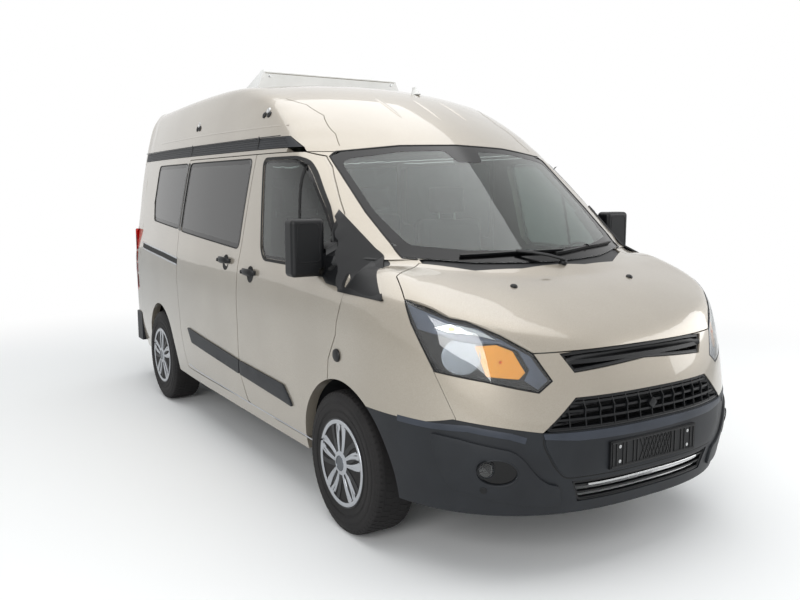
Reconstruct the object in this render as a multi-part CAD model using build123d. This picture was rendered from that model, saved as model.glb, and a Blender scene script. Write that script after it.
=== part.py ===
from build123d import *
import math
import os

# A windowed high-roof panel van, in millimetres.
# +Z is up, the front faces -Y, the van's right side is -X, and the origin is on the ground
# under the middle of the van.

# ---------------------------------------------------------------- driving dimensions
WHEELBASE = 2933.0
FRONT_AXLE_Y = -1477.5
REAR_AXLE_Y = FRONT_AXLE_Y + WHEELBASE
NOSE_Y = -2486.5              # foremost point of the front bumper
TAIL_Y = 2486.5               # rearmost point of the rear bumper
REAR_DOOR_Y = 2430.0          # outer face of the rear doors
HALF_WIDTH = 992.0            # at the shoulder crease
ROOF_TOP_Z = 2286.0           # crown of the high roof
GUTTER_Z = 1826.0             # where the steel side ends and the roof's side strip starts
STRIP_TOP_Z = 1892.0
BELT_Z = 1262.0               # foot of the side windows
SILL_Z = 372.0                # lower edge of the doors
SILL_BOTTOM_Z = 300.0

TYRE_RADIUS = 338.0
TYRE_WIDTH = 215.0
RIM_RADIUS = 203.0
FRONT_TRACK_HALF = 862.0      # from the middle of the van to the middle of a front tyre
REAR_TRACK_HALF = 848.0
KINGPIN_X = 790.0             # where the front wheels' upright steering axis stands
ARCH_RADIUS = 402.0

SHUT_GAP = 5.0                # gap between two body panels
PANEL = 55.0                  # thickness of a door, a side wall or a pillar
SKIN = 28.0                   # thickness of a fender, the bonnet or a bumper
GLASS = 5.0
GLASS_GAP = 0.4               # from a window's edge to the panel around it
LAMP_GAP = 0.8                # round a lamp
SEAT_GAP = 0.3                # between curved faces that rest on each other

FLOOR_TOP_Z = 560.0
FLOOR_BOTTOM_Z = 520.0
ROOF_DROP_Y = 2252.0          # behind here the roof comes down over the rear corners
ROOF_DROP_Z = 1806.0
COWL_HALF = 640.0             # the fenders start outside this, the cowl panel ends inside it
BUMPER_BOTTOM_Z = 296.0
PILLAR_FOOT_Z = 1292.0


# ---------------------------------------------------------------- small functions
def smooth_max(a, b, width):
    """The larger of two values, rounded over where they are within width of each other."""
    near = max(width - abs(a - b), 0.0) / width
    return max(a, b) + near ** 3 * width / 6.0


def smooth_min(a, b, width):
    """The smaller of two values, rounded over in the same way."""
    return -smooth_max(-a, -b, width)


def smooth_step(value, start, end):
    """0 before start, 1 after end, and an even curve between."""
    share = min(max((value - start) / (end - start), 0.0), 1.0)
    return share * share * (3.0 - 2.0 * share)


def curve_through(*points):
    """A function that passes smoothly through a few (place, value) points, with straight ends."""
    places = [point[0] for point in points]
    values = [point[1] for point in points]
    steps = []
    for i in range(len(points) - 1):
        steps.append((values[i + 1] - values[i]) / (places[i + 1] - places[i]))
    slopes = [steps[0]]
    for before, after in zip(steps, steps[1:]):
        slopes.append(0.0 if before * after <= 0 else 2 * before * after / (before + after))
    slopes.append(steps[-1])

    def value_at(place):
        if place <= places[0]:
            return values[0] + slopes[0] * (place - places[0])
        if place >= places[-1]:
            return values[-1] + slopes[-1] * (place - places[-1])
        i = max(k for k in range(len(places)) if places[k] <= place)
        span = places[i + 1] - places[i]
        t = (place - places[i]) / span
        ends = values[i] * (1 + 2 * t) * (1 - t) ** 2 + values[i + 1] * t * t * (3 - 2 * t)
        return ends + span * (slopes[i] * t * (1 - t) ** 2 - slopes[i + 1] * t * t * (1 - t))
    return value_at


# ---------------------------------------------------------------- the body's outer shape
NOSE_TURN_Y = -1556.0         # where the plan of the nose starts to curve in
NOSE_POWER = 2.6              # fullness of the nose in plan

half_width = curve_through((180, HALF_WIDTH - 77), (260, HALF_WIDTH - 52), (360, HALF_WIDTH - 30),
                           (560, HALF_WIDTH - 8), (800, HALF_WIDTH - 4), (980, HALF_WIDTH),
                           (1060, HALF_WIDTH - 4), (1180, HALF_WIDTH - 16), (1260, HALF_WIDTH - 30),
                           (1500, HALF_WIDTH - 62), (1780, HALF_WIDTH - 104), (1900, HALF_WIDTH - 124),
                           (1960, HALF_WIDTH - 134))
nose_front = curve_through((180, NOSE_Y + 106), (240, NOSE_Y + 56), (400, NOSE_Y + 20), (520, NOSE_Y + 2),
                           (640, NOSE_Y + 8), (780, NOSE_Y + 34), (900, NOSE_Y + 71), (980, NOSE_Y + 101),
                           (1100, NOSE_Y + 156), (1260, NOSE_Y + 246))
bonnet_middle = curve_through((-2560, 850), (-2400, 972), (-2250, 1072), (-2050, 1165), (-1900, 1212),
                              (-1790, 1240), (-1650, BELT_Z), (-1600, BELT_Z))


def side_gap(x, y, z):
    """Distance outside the side of the body, and the half width there."""
    width = half_width(z)
    width -= 2.3e-5 * max(y - 300.0, 0.0) ** 2 + 2.0e-6 * max(300.0 - y, 0.0) ** 2
    width -= 1.1e-4 * max(-600.0 - y, 0.0) ** 2 * smooth_step(z, 1120, 1330)
    return abs(x) - width, width


def lower_gap(x, y, z):
    """Distance outside the fenders, nose and bonnet."""
    gap, width = side_gap(x, y, z)
    if y < NOSE_TURN_Y:
        depth = NOSE_TURN_Y - nose_front(min(z, 1300.0))
        plan = (abs(x) / width) ** NOSE_POWER + ((NOSE_TURN_Y - y) / depth) ** NOSE_POWER
        gap = width * (plan ** (1 / NOSE_POWER) - 1)
    crown = 45.0 * (abs(x) / 850.0) ** 3 * smooth_step(-y, 1700, 2150)
    return smooth_max(gap, (z - bonnet_middle(y) + crown) * 0.92, 70.0)


def windscreen_y(x, z):
    """Where the windscreen's outer face is, for a place across and a height."""
    return -1806.0 + (max(z, 1225.0) - 1283.0) * 1.33 + 195.0 * (x / 711.0) ** 2


def roof_height(x, y):
    """Height of the high roof over a place in plan."""
    crown = ROOF_TOP_Z - 20.0 * (x / 500.0) ** 2 - 30.0 * smooth_step(y, 600, 2400)
    crown -= 2.2e-5 * max(400.0 - y, 0.0) ** 2
    side = 1950.0 + 4.0 * (850.0 - 1.1e-4 * max(-600.0 - y, 0.0) ** 2 - abs(x))
    side -= 4.0 * 2.3e-5 * max(y - 300.0, 0.0) ** 2
    front = 1846.0 + (y + 1075.0 - 185.0 * (x / 711.0) ** 2) * 0.65
    back = 1950.0 + 5.0 * (REAR_DOOR_Y - 40.0 - y)
    upper = smooth_min(smooth_min(crown, side, 330.0), front, 600.0)
    return smooth_min(upper, back, 200.0)


def cabin_gap(x, y, z):
    """Distance outside the cabin, above the belt."""
    gap, width = side_gap(x, y, z)
    gap = smooth_max(gap, (windscreen_y(x, z) - y) * 0.6, 110.0)
    return smooth_max(gap, (z - roof_height(x, y)) * 0.6, 30.0)


def rear_gap(x, y, z):
    """Distance behind the rear doors' outer face, which leans forward a little above the belt."""
    return y - (REAR_DOOR_Y - 0.05 * max(z - 1100.0, 0.0) - 3.0e-5 * x * x)


def body_gap(x, y, z):
    """Distance outside the whole body."""
    joint = 1.0 + 49.0 * smooth_step(-y, 1450, 1620)
    gap = smooth_min(lower_gap(x, y, z), cabin_gap(x, y, z), joint)
    return smooth_max(gap, rear_gap(x, y, z), 120.0)


def outward(x, y, z):
    """Unit vector square to the body's surface."""
    step = 0.5
    slope = Vector(body_gap(x + step, y, z) - body_gap(x - step, y, z),
                   body_gap(x, y + step, z) - body_gap(x, y - step, z),
                   body_gap(x, y, z + step) - body_gap(x, y, z - step))
    return slope.normalized()


def surface_point(start, direction, reach):
    """Where a straight line from inside the body leaves it."""
    near, far = 0.0, reach
    for _ in range(24):
        middle = (near + far) / 2
        here = start + direction * middle
        if body_gap(here.X, here.Y, here.Z) < 0:
            near = middle
        else:
            far = middle
    return start + direction * near


# ---------------------------------------------------------------- building blocks
def spaced(start, end, count):
    """Evenly spaced values, both ends included."""
    return [start + (end - start) * i / (count - 1) for i in range(count)]


def smooth_face(rows):
    """A smooth face through rows of points."""
    return Face.make_surface_from_array_of_points(rows, tol=0.5, smoothing=(1, 1, 1), max_deg=5)


def body_skin(line_at, across, along, outer_depth, inner_depth):
    """A curved slab that lies between two depths under the body's surface.

    line_at(u, v) gives the start and direction of the line that finds each point."""
    layers = {outer_depth: [], inner_depth: []}
    for u in across:
        rows = {depth: [] for depth in layers}
        for v in along:
            start, direction = line_at(u, v)
            point = surface_point(start, direction, 2600.0)
            normal = outward(point.X, point.Y, point.Z)
            for depth, row in rows.items():
                row.append(point - normal * depth)
        for depth, row in rows.items():
            layers[depth].append(row)
    outer = smooth_face(layers[outer_depth])
    inner = smooth_face(layers[inner_depth])
    faces = [outer, inner]
    inner_edges = list(inner.edges())
    for edge in outer.edges():
        twin = min(inner_edges, key=lambda other: ((other @ 0.5) - (edge @ 0.5)).length)
        faces.append(Face.make_surface_from_curves(edge, twin))
    return Solid(Shell(faces))


def side_line(share, z):
    """From the windscreen pillar, at share 0, to the rear doors, at share 1."""
    front = smooth_max(-1560.0, windscreen_y(720.0, z) + 8.0, 60.0)
    return Vector(0, front + share * (REAR_DOOR_Y - 90.0 - front), z), Vector(-1, 0, 0)


def nose_line(angle, z):
    turn = math.radians(angle)
    return Vector(0, -1500, z), Vector(-math.sin(turn), -math.cos(turn), 0)


def screen_line(angle, z):
    turn = math.radians(angle)
    return Vector(0, -500, z), Vector(-math.sin(turn), -math.cos(turn), 0)


def fender_line(y, angle):
    turn = math.radians(angle)
    return Vector(-450, y, 800), Vector(-math.cos(turn), 0, math.sin(turn))


BONNET_TURN_Y = -2200.0       # ahead of here the bonnet's sections fan out over its front edge


def bonnet_line(place, share):
    """Across the bonnet, from share -1 to 1, at a place along it, and from there fanning down its front."""
    y = max(place, BONNET_TURN_Y)
    lean = math.radians(max(BONNET_TURN_Y - place, 0.0) / 8.0)
    depth = NOSE_TURN_Y - nose_front(800.0)
    ahead = max(NOSE_TURN_Y - y, 0.0) / depth
    reach = 0.97 * HALF_WIDTH * (1.0 - ahead ** NOSE_POWER) ** (1 / NOSE_POWER)
    return Vector(share * reach, y, 800), Vector(0, -math.sin(lean), math.cos(lean))


ROOF_TURN_Y = 2230.0          # where the roof's sections start to fan out over its rear edge


def roof_line(place, angle):
    """Over the roof at a place along it, and from there fanning down its rear face."""
    turn = math.radians(angle)
    lean = math.radians(max(place - ROOF_TURN_Y, 0.0) / 8.0)
    start = Vector(0, min(place, ROOF_TURN_Y), 1700)
    across = math.cos(lean)
    return start, Vector(math.cos(turn) * across, math.sin(lean), math.sin(turn) * across)


def corner_line(angle, z):
    """Round the right rear corner, from the side at angle 0 to the back at 90."""
    turn = math.radians(angle)
    return Vector(-620, 2120, z), Vector(-math.cos(turn), math.sin(turn), 0)


def back_line(x, z):
    return Vector(x, 2100, z), Vector(0, 1, 0)


def rounded(points, radius):
    """A closed wire through the points with rounded corners."""
    return FilletPolyline(*points, radius=radius, close=True)


def prism_x(points, radius=0.0, start=-1100.0, end=-300.0):
    """A solid whose outline is drawn in (y, z), standing across the van."""
    corners = [(y, z) for y, z in points]
    wire = rounded(corners, radius) if radius else Polyline(*corners, close=True)
    face = Plane(origin=(start, 0, 0), x_dir=(0, 1, 0), z_dir=(1, 0, 0)) * make_face(wire)
    return extrude(face, amount=end - start, dir=(1, 0, 0))


def prism_y(points, radius=0.0, start=-2700.0, end=-300.0):
    """A solid whose outline is drawn in (x, z), running along the van."""
    corners = [(-x, z) for x, z in points]
    wire = rounded(corners, radius) if radius else Polyline(*corners, close=True)
    face = Plane(origin=(0, start, 0), x_dir=(-1, 0, 0), z_dir=(0, 1, 0)) * make_face(wire)
    return extrude(face, amount=end - start, dir=(0, 1, 0))


def prism_z(points, start=700.0, end=1500.0, radius=0.0):
    """A solid whose outline is drawn in plan."""
    wire = rounded(points, radius) if radius else Polyline(*points, close=True)
    face = Plane(origin=(0, 0, start)) * make_face(wire)
    return extrude(face, amount=end - start, dir=(0, 0, 1))


def prism_corner(points, start=0.0, amount=3200.0):
    """A solid seen from the front right at 45 degrees, outlined in (distance leftwards, z)."""
    offset = -start / math.sqrt(2)
    face = Plane(origin=(offset, offset, 0), x_dir=(1, -1, 0), z_dir=(-1, -1, 0)) * make_face(
        Polyline(*points, close=True))
    return extrude(face, amount=amount, dir=(-1, -1, 0))


def box(x, y, z):
    """A box between two places along each axis."""
    size = (x[1] - x[0], y[1] - y[0], z[1] - z[0])
    middle = ((x[0] + x[1]) / 2, (y[0] + y[1]) / 2, (z[0] + z[1]) / 2)
    return Pos(*middle) * Box(*size)


def across_cylinder(radius, x, y, z):
    """A cylinder whose axis runs across the van, between two places."""
    middle = ((x[0] + x[1]) / 2, y, z)
    return Pos(*middle) * Rot(0, 90, 0) * Cylinder(radius, x[1] - x[0])


def left(shape):
    """The same piece on the van's left side."""
    return mirror(shape, about=Plane.YZ)


def biggest(shape):
    """The largest solid of a cut, without slivers."""
    return max(shape.solids(), key=lambda solid: solid.volume)


def grown(points, amount):
    """An outline moved outwards by an amount, or inwards if it is negative."""
    count = len(points)
    area = sum(points[i - 1][0] * points[i][1] - points[i][0] * points[i - 1][1] for i in range(count))
    side = amount if area > 0 else -amount
    moved = []
    for i in range(count):
        before, here, after = Vector(*points[i - 1]), Vector(*points[i]), Vector(*points[(i + 1) % count])
        into = (here - before).normalized()
        away = (after - here).normalized()
        corner = 1.0 + into.dot(away)
        shift = Vector(into.Y + away.Y, -into.X - away.X) * (side / corner)
        moved.append((here.X + shift.X, here.Y + shift.Y))
    return moved


PIECES = {}


def keep(name, *shapes):
    """Stores a named piece, which may be several solids that don't touch."""
    solids = []
    for shape in shapes:
        solids += shape.solids()
    PIECES[name] = solids


# ---------------------------------------------------------------- outlines of the right side
# Outlines of the sides are (y, z), those seen from the front are (x, z), and plans are (x, y).
FRONT_DOOR = [(-1372, 712), (-1387, 824), (-1467, 950), (-1477, 1012), (-1527, 1155), (-1500, 1210),
              (-1262, 1490), (-1000, 1722), (-930, 1776), (-840, 1800), (-350, 1800), (-250, 1160),
              (-246, 660), (-262, 530), (-330, SILL_Z + 14), (-372, SILL_Z), (-1220, SILL_Z - 8),
              (-1220, 560)]
SLIDING_DOOR = [(-344, 1800), (846, 1800), (858, 1776), (945, 1326), (930, 1155), (906, 833), (880, 640),
                (842, 520), (800, SILL_Z + 8), (770, SILL_Z), (-340, SILL_Z), (-318, SILL_Z + 14), (-256, 532),
                (-240, 660), (-244, 1160)]
DOOR_WINDOW = [(-560, 1290), (-610, 1240), (-1340, 1240), (-1370, 1290), (-1180, 1510), (-985, 1680),
               (-900, 1742), (-820, 1764), (-470, 1764)]
SLIDING_WINDOW = [(-296, 1778), (-222, 1264), (905, 1318), (822, 1778)]
REAR_WINDOW = [(884, 1778), (972, 1330), (1700, 1364), (1742, 1500), (1690, 1778)]
SCREEN = [(-700, 1300), (-400, 1273), (0, 1264), (400, 1273), (700, 1300), (727, 1500), (727, 1775),
          (690, 1800), (350, 1836), (0, 1846), (-350, 1836), (-690, 1800), (-727, 1775), (-727, 1500)]
SAIL = [(-1232, 1508), (-1490, 1150), (-1822, 1144), (-1560, 1296)]
STRIP = [(-800, 1829), (-668, STRIP_TOP_Z - GLASS_GAP), (ROOF_DROP_Y - 2, STRIP_TOP_Z - GLASS_GAP),
         (ROOF_DROP_Y - 2, 1829)]
LAMP = [(718, 1162), (921, 1096), (988, 1086), (1124, 1033), (1254, 963), (1336, 851), (1285, 807),
        (1072, 851), (865, 880), (757, 1065)]
BONNET_FRONT_Z = 963.0
BONNET_EDGE = 7.0             # the bonnet is this thick along its front and sides, so that it lifts clear of the lamps
BONNET_EDGE_WIDTH = 34.0
BONNET_EDGE_Y = -1860.0       # rear end of that thin edge
BONNET_HALF = [(0, -2470), (-543, -2470), (-543, -2314), (-647, -2232), (-743, -2138),
               (-795, -2088), (-888, -1908), (-836, -1764), (-651, -1662), (-443, -1802), (-200, -1848)]
BONNET = BONNET_HALF + [(-x, y) for x, y in reversed(BONNET_HALF[1:])]
BLACK_EDGE = [(-1200, 672), (-900, 668), (-826, 696), (-554, 652), (554, 652), (826, 696), (900, 668),
              (1200, 672)]
GRILLE = [(-548, 651), (548, 651), (400, 782), (-400, 782)]
SLOT = [(-436, 955), (-300, 962), (300, 962), (436, 955), (386, 876), (0, 900), (-386, 876)]
INTAKE = [(-420, 440), (420, 440), (380, 345), (-380, 345)]
PLATE_X, PLATE_Z = (-262, 262), (474, 592)
BACK_DOOR = [(-770, 585), (-776, 1100), (-744, 1300), (-690, 1740), (-650, 1796), (-4, 1796), (-4, 585)]
BACK_WINDOW = [(-680, 1300), (-620, 1700), (-110, 1700), (-110, 1300)]

# ---------------------------------------------------------------- cutting tools
front_arch = across_cylinder(ARCH_RADIUS, (-1100, -500), FRONT_AXLE_Y - 20, TYRE_RADIUS)
rear_arch = across_cylinder(ARCH_RADIUS, (-1100, -500), REAR_AXLE_Y, TYRE_RADIUS)
door_tool = prism_x(FRONT_DOOR)
door_hole = prism_x(grown(FRONT_DOOR, SHUT_GAP))
sliding_tool = prism_x(SLIDING_DOOR)
sliding_hole = prism_x(grown(SLIDING_DOOR, SHUT_GAP))
screen_hole = prism_y(grown(SCREEN, GLASS_GAP), end=-700.0)
sail_tool = prism_x(SAIL)
sail_hole = prism_x(grown(SAIL, GLASS_GAP))
lamp_tool = prism_corner(LAMP)
lamp_hole = prism_corner(grown(LAMP, LAMP_GAP))
bonnet_rows = spaced(BONNET_TURN_Y - 640, BONNET_TURN_Y - 20, 20) + spaced(BONNET_TURN_Y, -1600, 16)
bonnet_space = body_skin(bonnet_line, bonnet_rows, spaced(-1, 1, 31), -15, SKIN + SHUT_GAP)
bonnet_space = bonnet_space & prism_z(grown(BONNET, SHUT_GAP), start=BONNET_FRONT_Z - SHUT_GAP)
below_black = prism_y([(-1200, 0), (1200, 0)] + list(reversed(BLACK_EDGE)), end=-1000.0)
below_black_gap = prism_y([(-1200, 0), (1200, 0)] + [(x, z + 1.0) for x, z in reversed(BLACK_EDGE)], end=-1000.0)

# ---------------------------------------------------------------- sides, doors and their glass
side_wall = body_skin(side_line, spaced(0, 1, 34), spaced(SILL_BOTTOM_Z, GUTTER_Z, 24), 0, PANEL)
side_glass = body_skin(side_line, spaced(0, 1, 34), spaced(1200, GUTTER_Z, 12), 3, 3 + GLASS)
rear_split = box((-1200, 0), (2120, 3000), (0, 3000))

body_side = side_wall - door_hole - sliding_hole - front_arch - rear_arch - prism_x(REAR_WINDOW, 40)
body_side = biggest(body_side - box((-1200, 0), (-3000, -700), (SILL_Z - 12, 3000)) - rear_split
                    - box((-1200, 0), (-3000, FRONT_AXLE_Y), (0, 3000)))
rear_side_glass = biggest(side_glass & prism_x(grown(REAR_WINDOW, -GLASS_GAP), 40))
sliding_door = biggest((side_wall & sliding_tool) - prism_x(SLIDING_WINDOW, 40) - rear_arch)
sliding_glass = biggest(side_glass & prism_x(grown(SLIDING_WINDOW, -GLASS_GAP), 40))
front_door = biggest((side_wall & door_tool) - prism_x(DOOR_WINDOW, 30) - front_arch)
front_door_glass = biggest(side_glass & prism_x(grown(DOOR_WINDOW, -GLASS_GAP), 30))

keep("body_sides", body_side, left(body_side))
keep("sliding_door_right", sliding_door)
keep("side_panel_left", left(sliding_door))
keep("side_glass", rear_side_glass, sliding_glass, left(rear_side_glass), left(sliding_glass))
keep("front_door_right", front_door)
keep("front_door_left", left(front_door))
keep("front_door_glass_right", front_door_glass)
keep("front_door_glass_left", left(front_door_glass))

# ---------------------------------------------------------------- windscreen, pillars and roof
screen_wall = body_skin(screen_line, spaced(-72, 72, 29), spaced(1215, 1870, 16), 0, PANEL)
pillars = screen_wall - screen_hole - door_hole - left(door_hole) - sail_hole - left(sail_hole)
pillars = pillars & box((-1200, 1200), (-3000, -700), (PILLAR_FOOT_Z, 1800))
keep("windscreen_pillars", *[solid for solid in pillars.solids() if solid.volume > 1e5])
screen_glass = body_skin(screen_line, spaced(-60, 60, 25), spaced(1215, 1870, 16), 2, 8)
keep("windscreen", biggest(screen_glass & prism_y(grown(SCREEN, -GLASS_GAP), end=-700.0)))

roof_wall = body_skin(roof_line, spaced(-1150, ROOF_TURN_Y, 31) + spaced(ROOF_TURN_Y + 60, ROOF_TURN_Y + 600, 10),
                      spaced(6, 174, 41), 0, 30)
below_roof = prism_x([(-3000, 1500), (-3000, 1804), (-845, 1804), (-812, 1829), (-672, STRIP_TOP_Z),
                      (ROOF_DROP_Y, STRIP_TOP_Z), (ROOF_DROP_Y, ROOF_DROP_Z), (3000, ROOF_DROP_Z), (3000, 1500)],
                     start=-1200, end=1200)
roof = biggest(roof_wall - below_roof - screen_hole)
keep("roof", roof)
strip_wall = body_skin(side_line, spaced(0, 1, 30), spaced(1815, 1900, 5), -4, 30)
roof_strip = biggest(strip_wall & prism_x(STRIP))
keep("roof_side_strips", roof_strip, left(roof_strip))

# ---------------------------------------------------------------- rear doors, corners and lamps
corner_wall = body_skin(corner_line, spaced(0, 90, 14), spaced(SILL_BOTTOM_Z + 40, GUTTER_Z, 18), 0, PANEL)
corner = corner_wall - prism_y(grown(BACK_DOOR, SHUT_GAP) + [(10, 1801), (10, 300), (-775, 300)], start=2000, end=3000)
corner = corner - box((-1200, 0), (0, 2120), (0, 3000))
corner = corner - box((-1200, 0), (ROOF_DROP_Y - SEAT_GAP, 3000), (ROOF_DROP_Z - SEAT_GAP, 3000))
tail_lamp_tool = box((-1200, -790), (2265, 3000), (760, 1290))
tail_lamp = biggest(corner & tail_lamp_tool)
rear_corner = biggest(corner - box((-1200, -790 + LAMP_GAP), (2265 - LAMP_GAP, 3000), (760 - LAMP_GAP, 1290 + LAMP_GAP)))
keep("rear_corners", rear_corner, left(rear_corner))
keep("tail_lamps", tail_lamp, left(tail_lamp))
back_wall = body_skin(back_line, spaced(-775, 775, 19), spaced(570, 1810, 16), 0, PANEL)
back_glass = body_skin(back_line, spaced(-775, 775, 19), spaced(1200, 1810, 8), 3, 3 + GLASS)
back_door = biggest(back_wall & prism_y(BACK_DOOR, start=2000, end=3000))
back_door = biggest(back_door - prism_y(BACK_WINDOW, 40, start=2000, end=3000))
back_door_glass = biggest(back_glass & prism_y(grown(BACK_WINDOW, -GLASS_GAP), 40, start=2000, end=3000))
keep("rear_door_right", back_door)
keep("rear_door_left", left(back_door))
keep("rear_door_glass_right", back_door_glass)
keep("rear_door_glass_left", left(back_door_glass))

# ---------------------------------------------------------------- fenders, bonnet, lamps and bumper
HEEL_Y = -1540.0              # the fender's heel, beside the door's front edge, starts here
fender_wall = body_skin(fender_line, spaced(-2260, -1530, 24), spaced(-28, 86, 30), 0, SKIN)
nose_side = prism_corner([(861, 884), (959, 700), (959, 300), (2600, 300), (2600, 1500), (861, 1500)])
fender = fender_wall - door_hole - bonnet_space - sail_hole - front_arch - lamp_hole - nose_side
fender = fender - below_black_gap - screen_hole - box((-1200, 0), (-3000, 0), (PILLAR_FOOT_Z - SEAT_GAP, 3000))
fender = biggest(fender - box((-COWL_HALF, 0), (-3000, 0), (0, 3000)) - box((-1200, 0), (HEEL_Y, 0), (0, 3000)))
heel_wall = body_skin(side_line, spaced(0, 0.07, 8), spaced(600, 1230, 14), 0.3, SKIN + 6)
heel = heel_wall & box((-1200, 0), (HEEL_Y, -1300), (620, 1290))
heel = biggest(heel - door_hole - front_arch - sail_hole)
fender = fender + heel
keep("fenders", fender, left(fender))
low_sail = (fender_wall & sail_tool) - door_hole
low_sail = biggest(low_sail - box((-1200, 0), (-3000, 0), (PILLAR_FOOT_Z - SEAT_GAP, 3000)))
high_sail = (screen_wall & sail_tool) - door_hole
high_sail = biggest(high_sail - box((-1200, 0), (-3000, 0), (0, PILLAR_FOOT_Z)))
keep("sail_trims", low_sail, high_sail, left(low_sail), left(high_sail))
bonnet_wall = body_skin(bonnet_line, bonnet_rows, spaced(-1, 1, 31), 0, SKIN)
bonnet_edge = body_skin(bonnet_line, bonnet_rows, spaced(-1, 1, 31), BONNET_EDGE, SKIN + 10)
bonnet_edge = bonnet_edge & box((-1100, 1100), (-2600, BONNET_EDGE_Y), (900, 1400))
bonnet_edge = bonnet_edge - prism_z(grown(BONNET, -BONNET_EDGE_WIDTH))
keep("bonnet", biggest((bonnet_wall & prism_z(BONNET, start=BONNET_FRONT_Z)) - bonnet_edge))
cowl_wall = body_skin(bonnet_line, spaced(-1910, -1560, 12), spaced(-1, 1, 31), 8, 30)
cowl_reach = COWL_HALF - SEAT_GAP
cowl = cowl_wall & box((-cowl_reach, cowl_reach), (-1905, -1575), (1100, PILLAR_FOOT_Z - SEAT_GAP))
cowl = biggest(cowl - bonnet_space - screen_hole)
keep("cowl_panel", cowl)

nose_wall = body_skin(nose_line, spaced(-96, 96, 45), spaced(BUMPER_BOTTOM_Z, 990, 20), 0, SKIN)
fender_space = prism_corner([(863, 884), (961, 700), (961, 300), (-3000, 300), (-3000, 1500), (863, 1500)])
nose = nose_wall - bonnet_space - lamp_hole - left(lamp_hole) - below_black_gap - prism_y(SLOT) - prism_y(GRILLE)
nose = biggest(nose - fender_space - left(fender_space) - box((-1200, 1200), (-1900, 0), (0, 3000)))
keep("nose_panel", nose)
plate_pocket = box((PLATE_X[0] - SEAT_GAP, PLATE_X[1] + SEAT_GAP), (NOSE_Y - 50, NOSE_Y + 14),
                   (PLATE_Z[0] - SEAT_GAP, PLATE_Z[1] + SEAT_GAP))
bumper = (nose_wall & below_black) - front_arch - left(front_arch) - prism_y(GRILLE) - prism_y(INTAKE)
bumper = biggest(bumper - plate_pocket - box((-1200, 1200), (-1560, 0), (0, 3000)))
keep("front_bumper", bumper)
keep("plate_holder", box(PLATE_X, (NOSE_Y, NOSE_Y + 13.7), PLATE_Z))
grille_wall = body_skin(nose_line, spaced(-30, 30, 15), spaced(320, 980, 18), 8, SKIN)


def bars(outline, heights, bar):
    """A grille's outline with openings between its bars."""
    piece = biggest(grille_wall & prism_y(grown(outline, -GLASS_GAP)))
    inner = prism_y(grown(outline, -14.0))
    for low, high in zip(heights, heights[1:]):
        piece = piece - (inner & box((-600, 600), (-2700, -2200), (low + bar, high)))
    return biggest(piece)


keep("grilles", bars(GRILLE, [651, 690, 722, 754, 786], 9), biggest(bars(SLOT, [870, 908, 950], 16) - bonnet_space),
     bars(INTAKE, [345, 378, 410, 445], 9))

LAMP_BACK = 1935.0            # how far towards the corner a headlamp's flat back stands
lamp_lens = body_skin(nose_line, spaced(22, 86, 22), spaced(780, 1190, 18), 0, 4)
lamp_space = body_skin(nose_line, spaced(18, 90, 24), spaced(760, 1210, 20), -40, 4.3)
lens = biggest((lamp_lens & lamp_tool) - bonnet_space)
bowl = prism_corner(LAMP, start=LAMP_BACK, amount=170) - lamp_space - bonnet_space
bowl = biggest(biggest(bowl) - prism_corner(grown(LAMP, -8.0), start=LAMP_BACK + 15))
keep("headlamp_lenses", lens, left(lens))
keep("headlamp_bowls", bowl, left(bowl))

# ---------------------------------------------------------------- rear bumper and roof box
BUMPER_HALF = 905.0
BUMPER_Z = (335.0, 570.0)
bumper_outer = [(-BUMPER_HALF, 2150), (-BUMPER_HALF, 2345), (-770, TAIL_Y - 16), (0, TAIL_Y),
                (770, TAIL_Y - 16), (BUMPER_HALF, 2345), (BUMPER_HALF, 2150)]
bumper_inner = [(-BUMPER_HALF + 43, 2100), (-BUMPER_HALF + 43, 2300), (-740, 2440), (740, 2440),
                (BUMPER_HALF - 43, 2300), (BUMPER_HALF - 43, 2100)]
rear_bumper = prism_z(bumper_outer, BUMPER_Z[0], BUMPER_Z[1], 45) - prism_z(bumper_inner, 0, 1000, 30)
rear_bumper = rear_bumper - box((-1000, 1000), (2000, 2190), (0, 1000))
keep("rear_bumper", biggest(rear_bumper - corner_wall - left(corner_wall)))

ROOF_BOX_Y = (400.0, 650.0)
ROOF_BOX_RISE = 102.0         # how far it stands above the roof's crown
box_top = ROOF_TOP_Z + ROOF_BOX_RISE
box_foot = ROOF_TOP_Z - 24.0
roof_box_front = [(-560, box_foot), (-505, box_top), (505, box_top), (560, box_foot), (560, box_foot - 50),
                  (-560, box_foot - 50)]
roof_box_side = [(ROOF_BOX_Y[0], box_foot - 50), (ROOF_BOX_Y[0], box_top - 12), (ROOF_BOX_Y[0] + 14, box_top),
                 (ROOF_BOX_Y[0] + 50, box_top), (ROOF_BOX_Y[1], box_foot), (ROOF_BOX_Y[1], box_foot - 50)]
roof_box = prism_y(roof_box_front, start=ROOF_BOX_Y[0], end=ROOF_BOX_Y[1])
roof_box = (roof_box & prism_x(roof_box_side, start=-600, end=600)) - roof_wall
keep("roof_box", max(roof_box.solids(), key=lambda solid: solid.center().Z))

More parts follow.
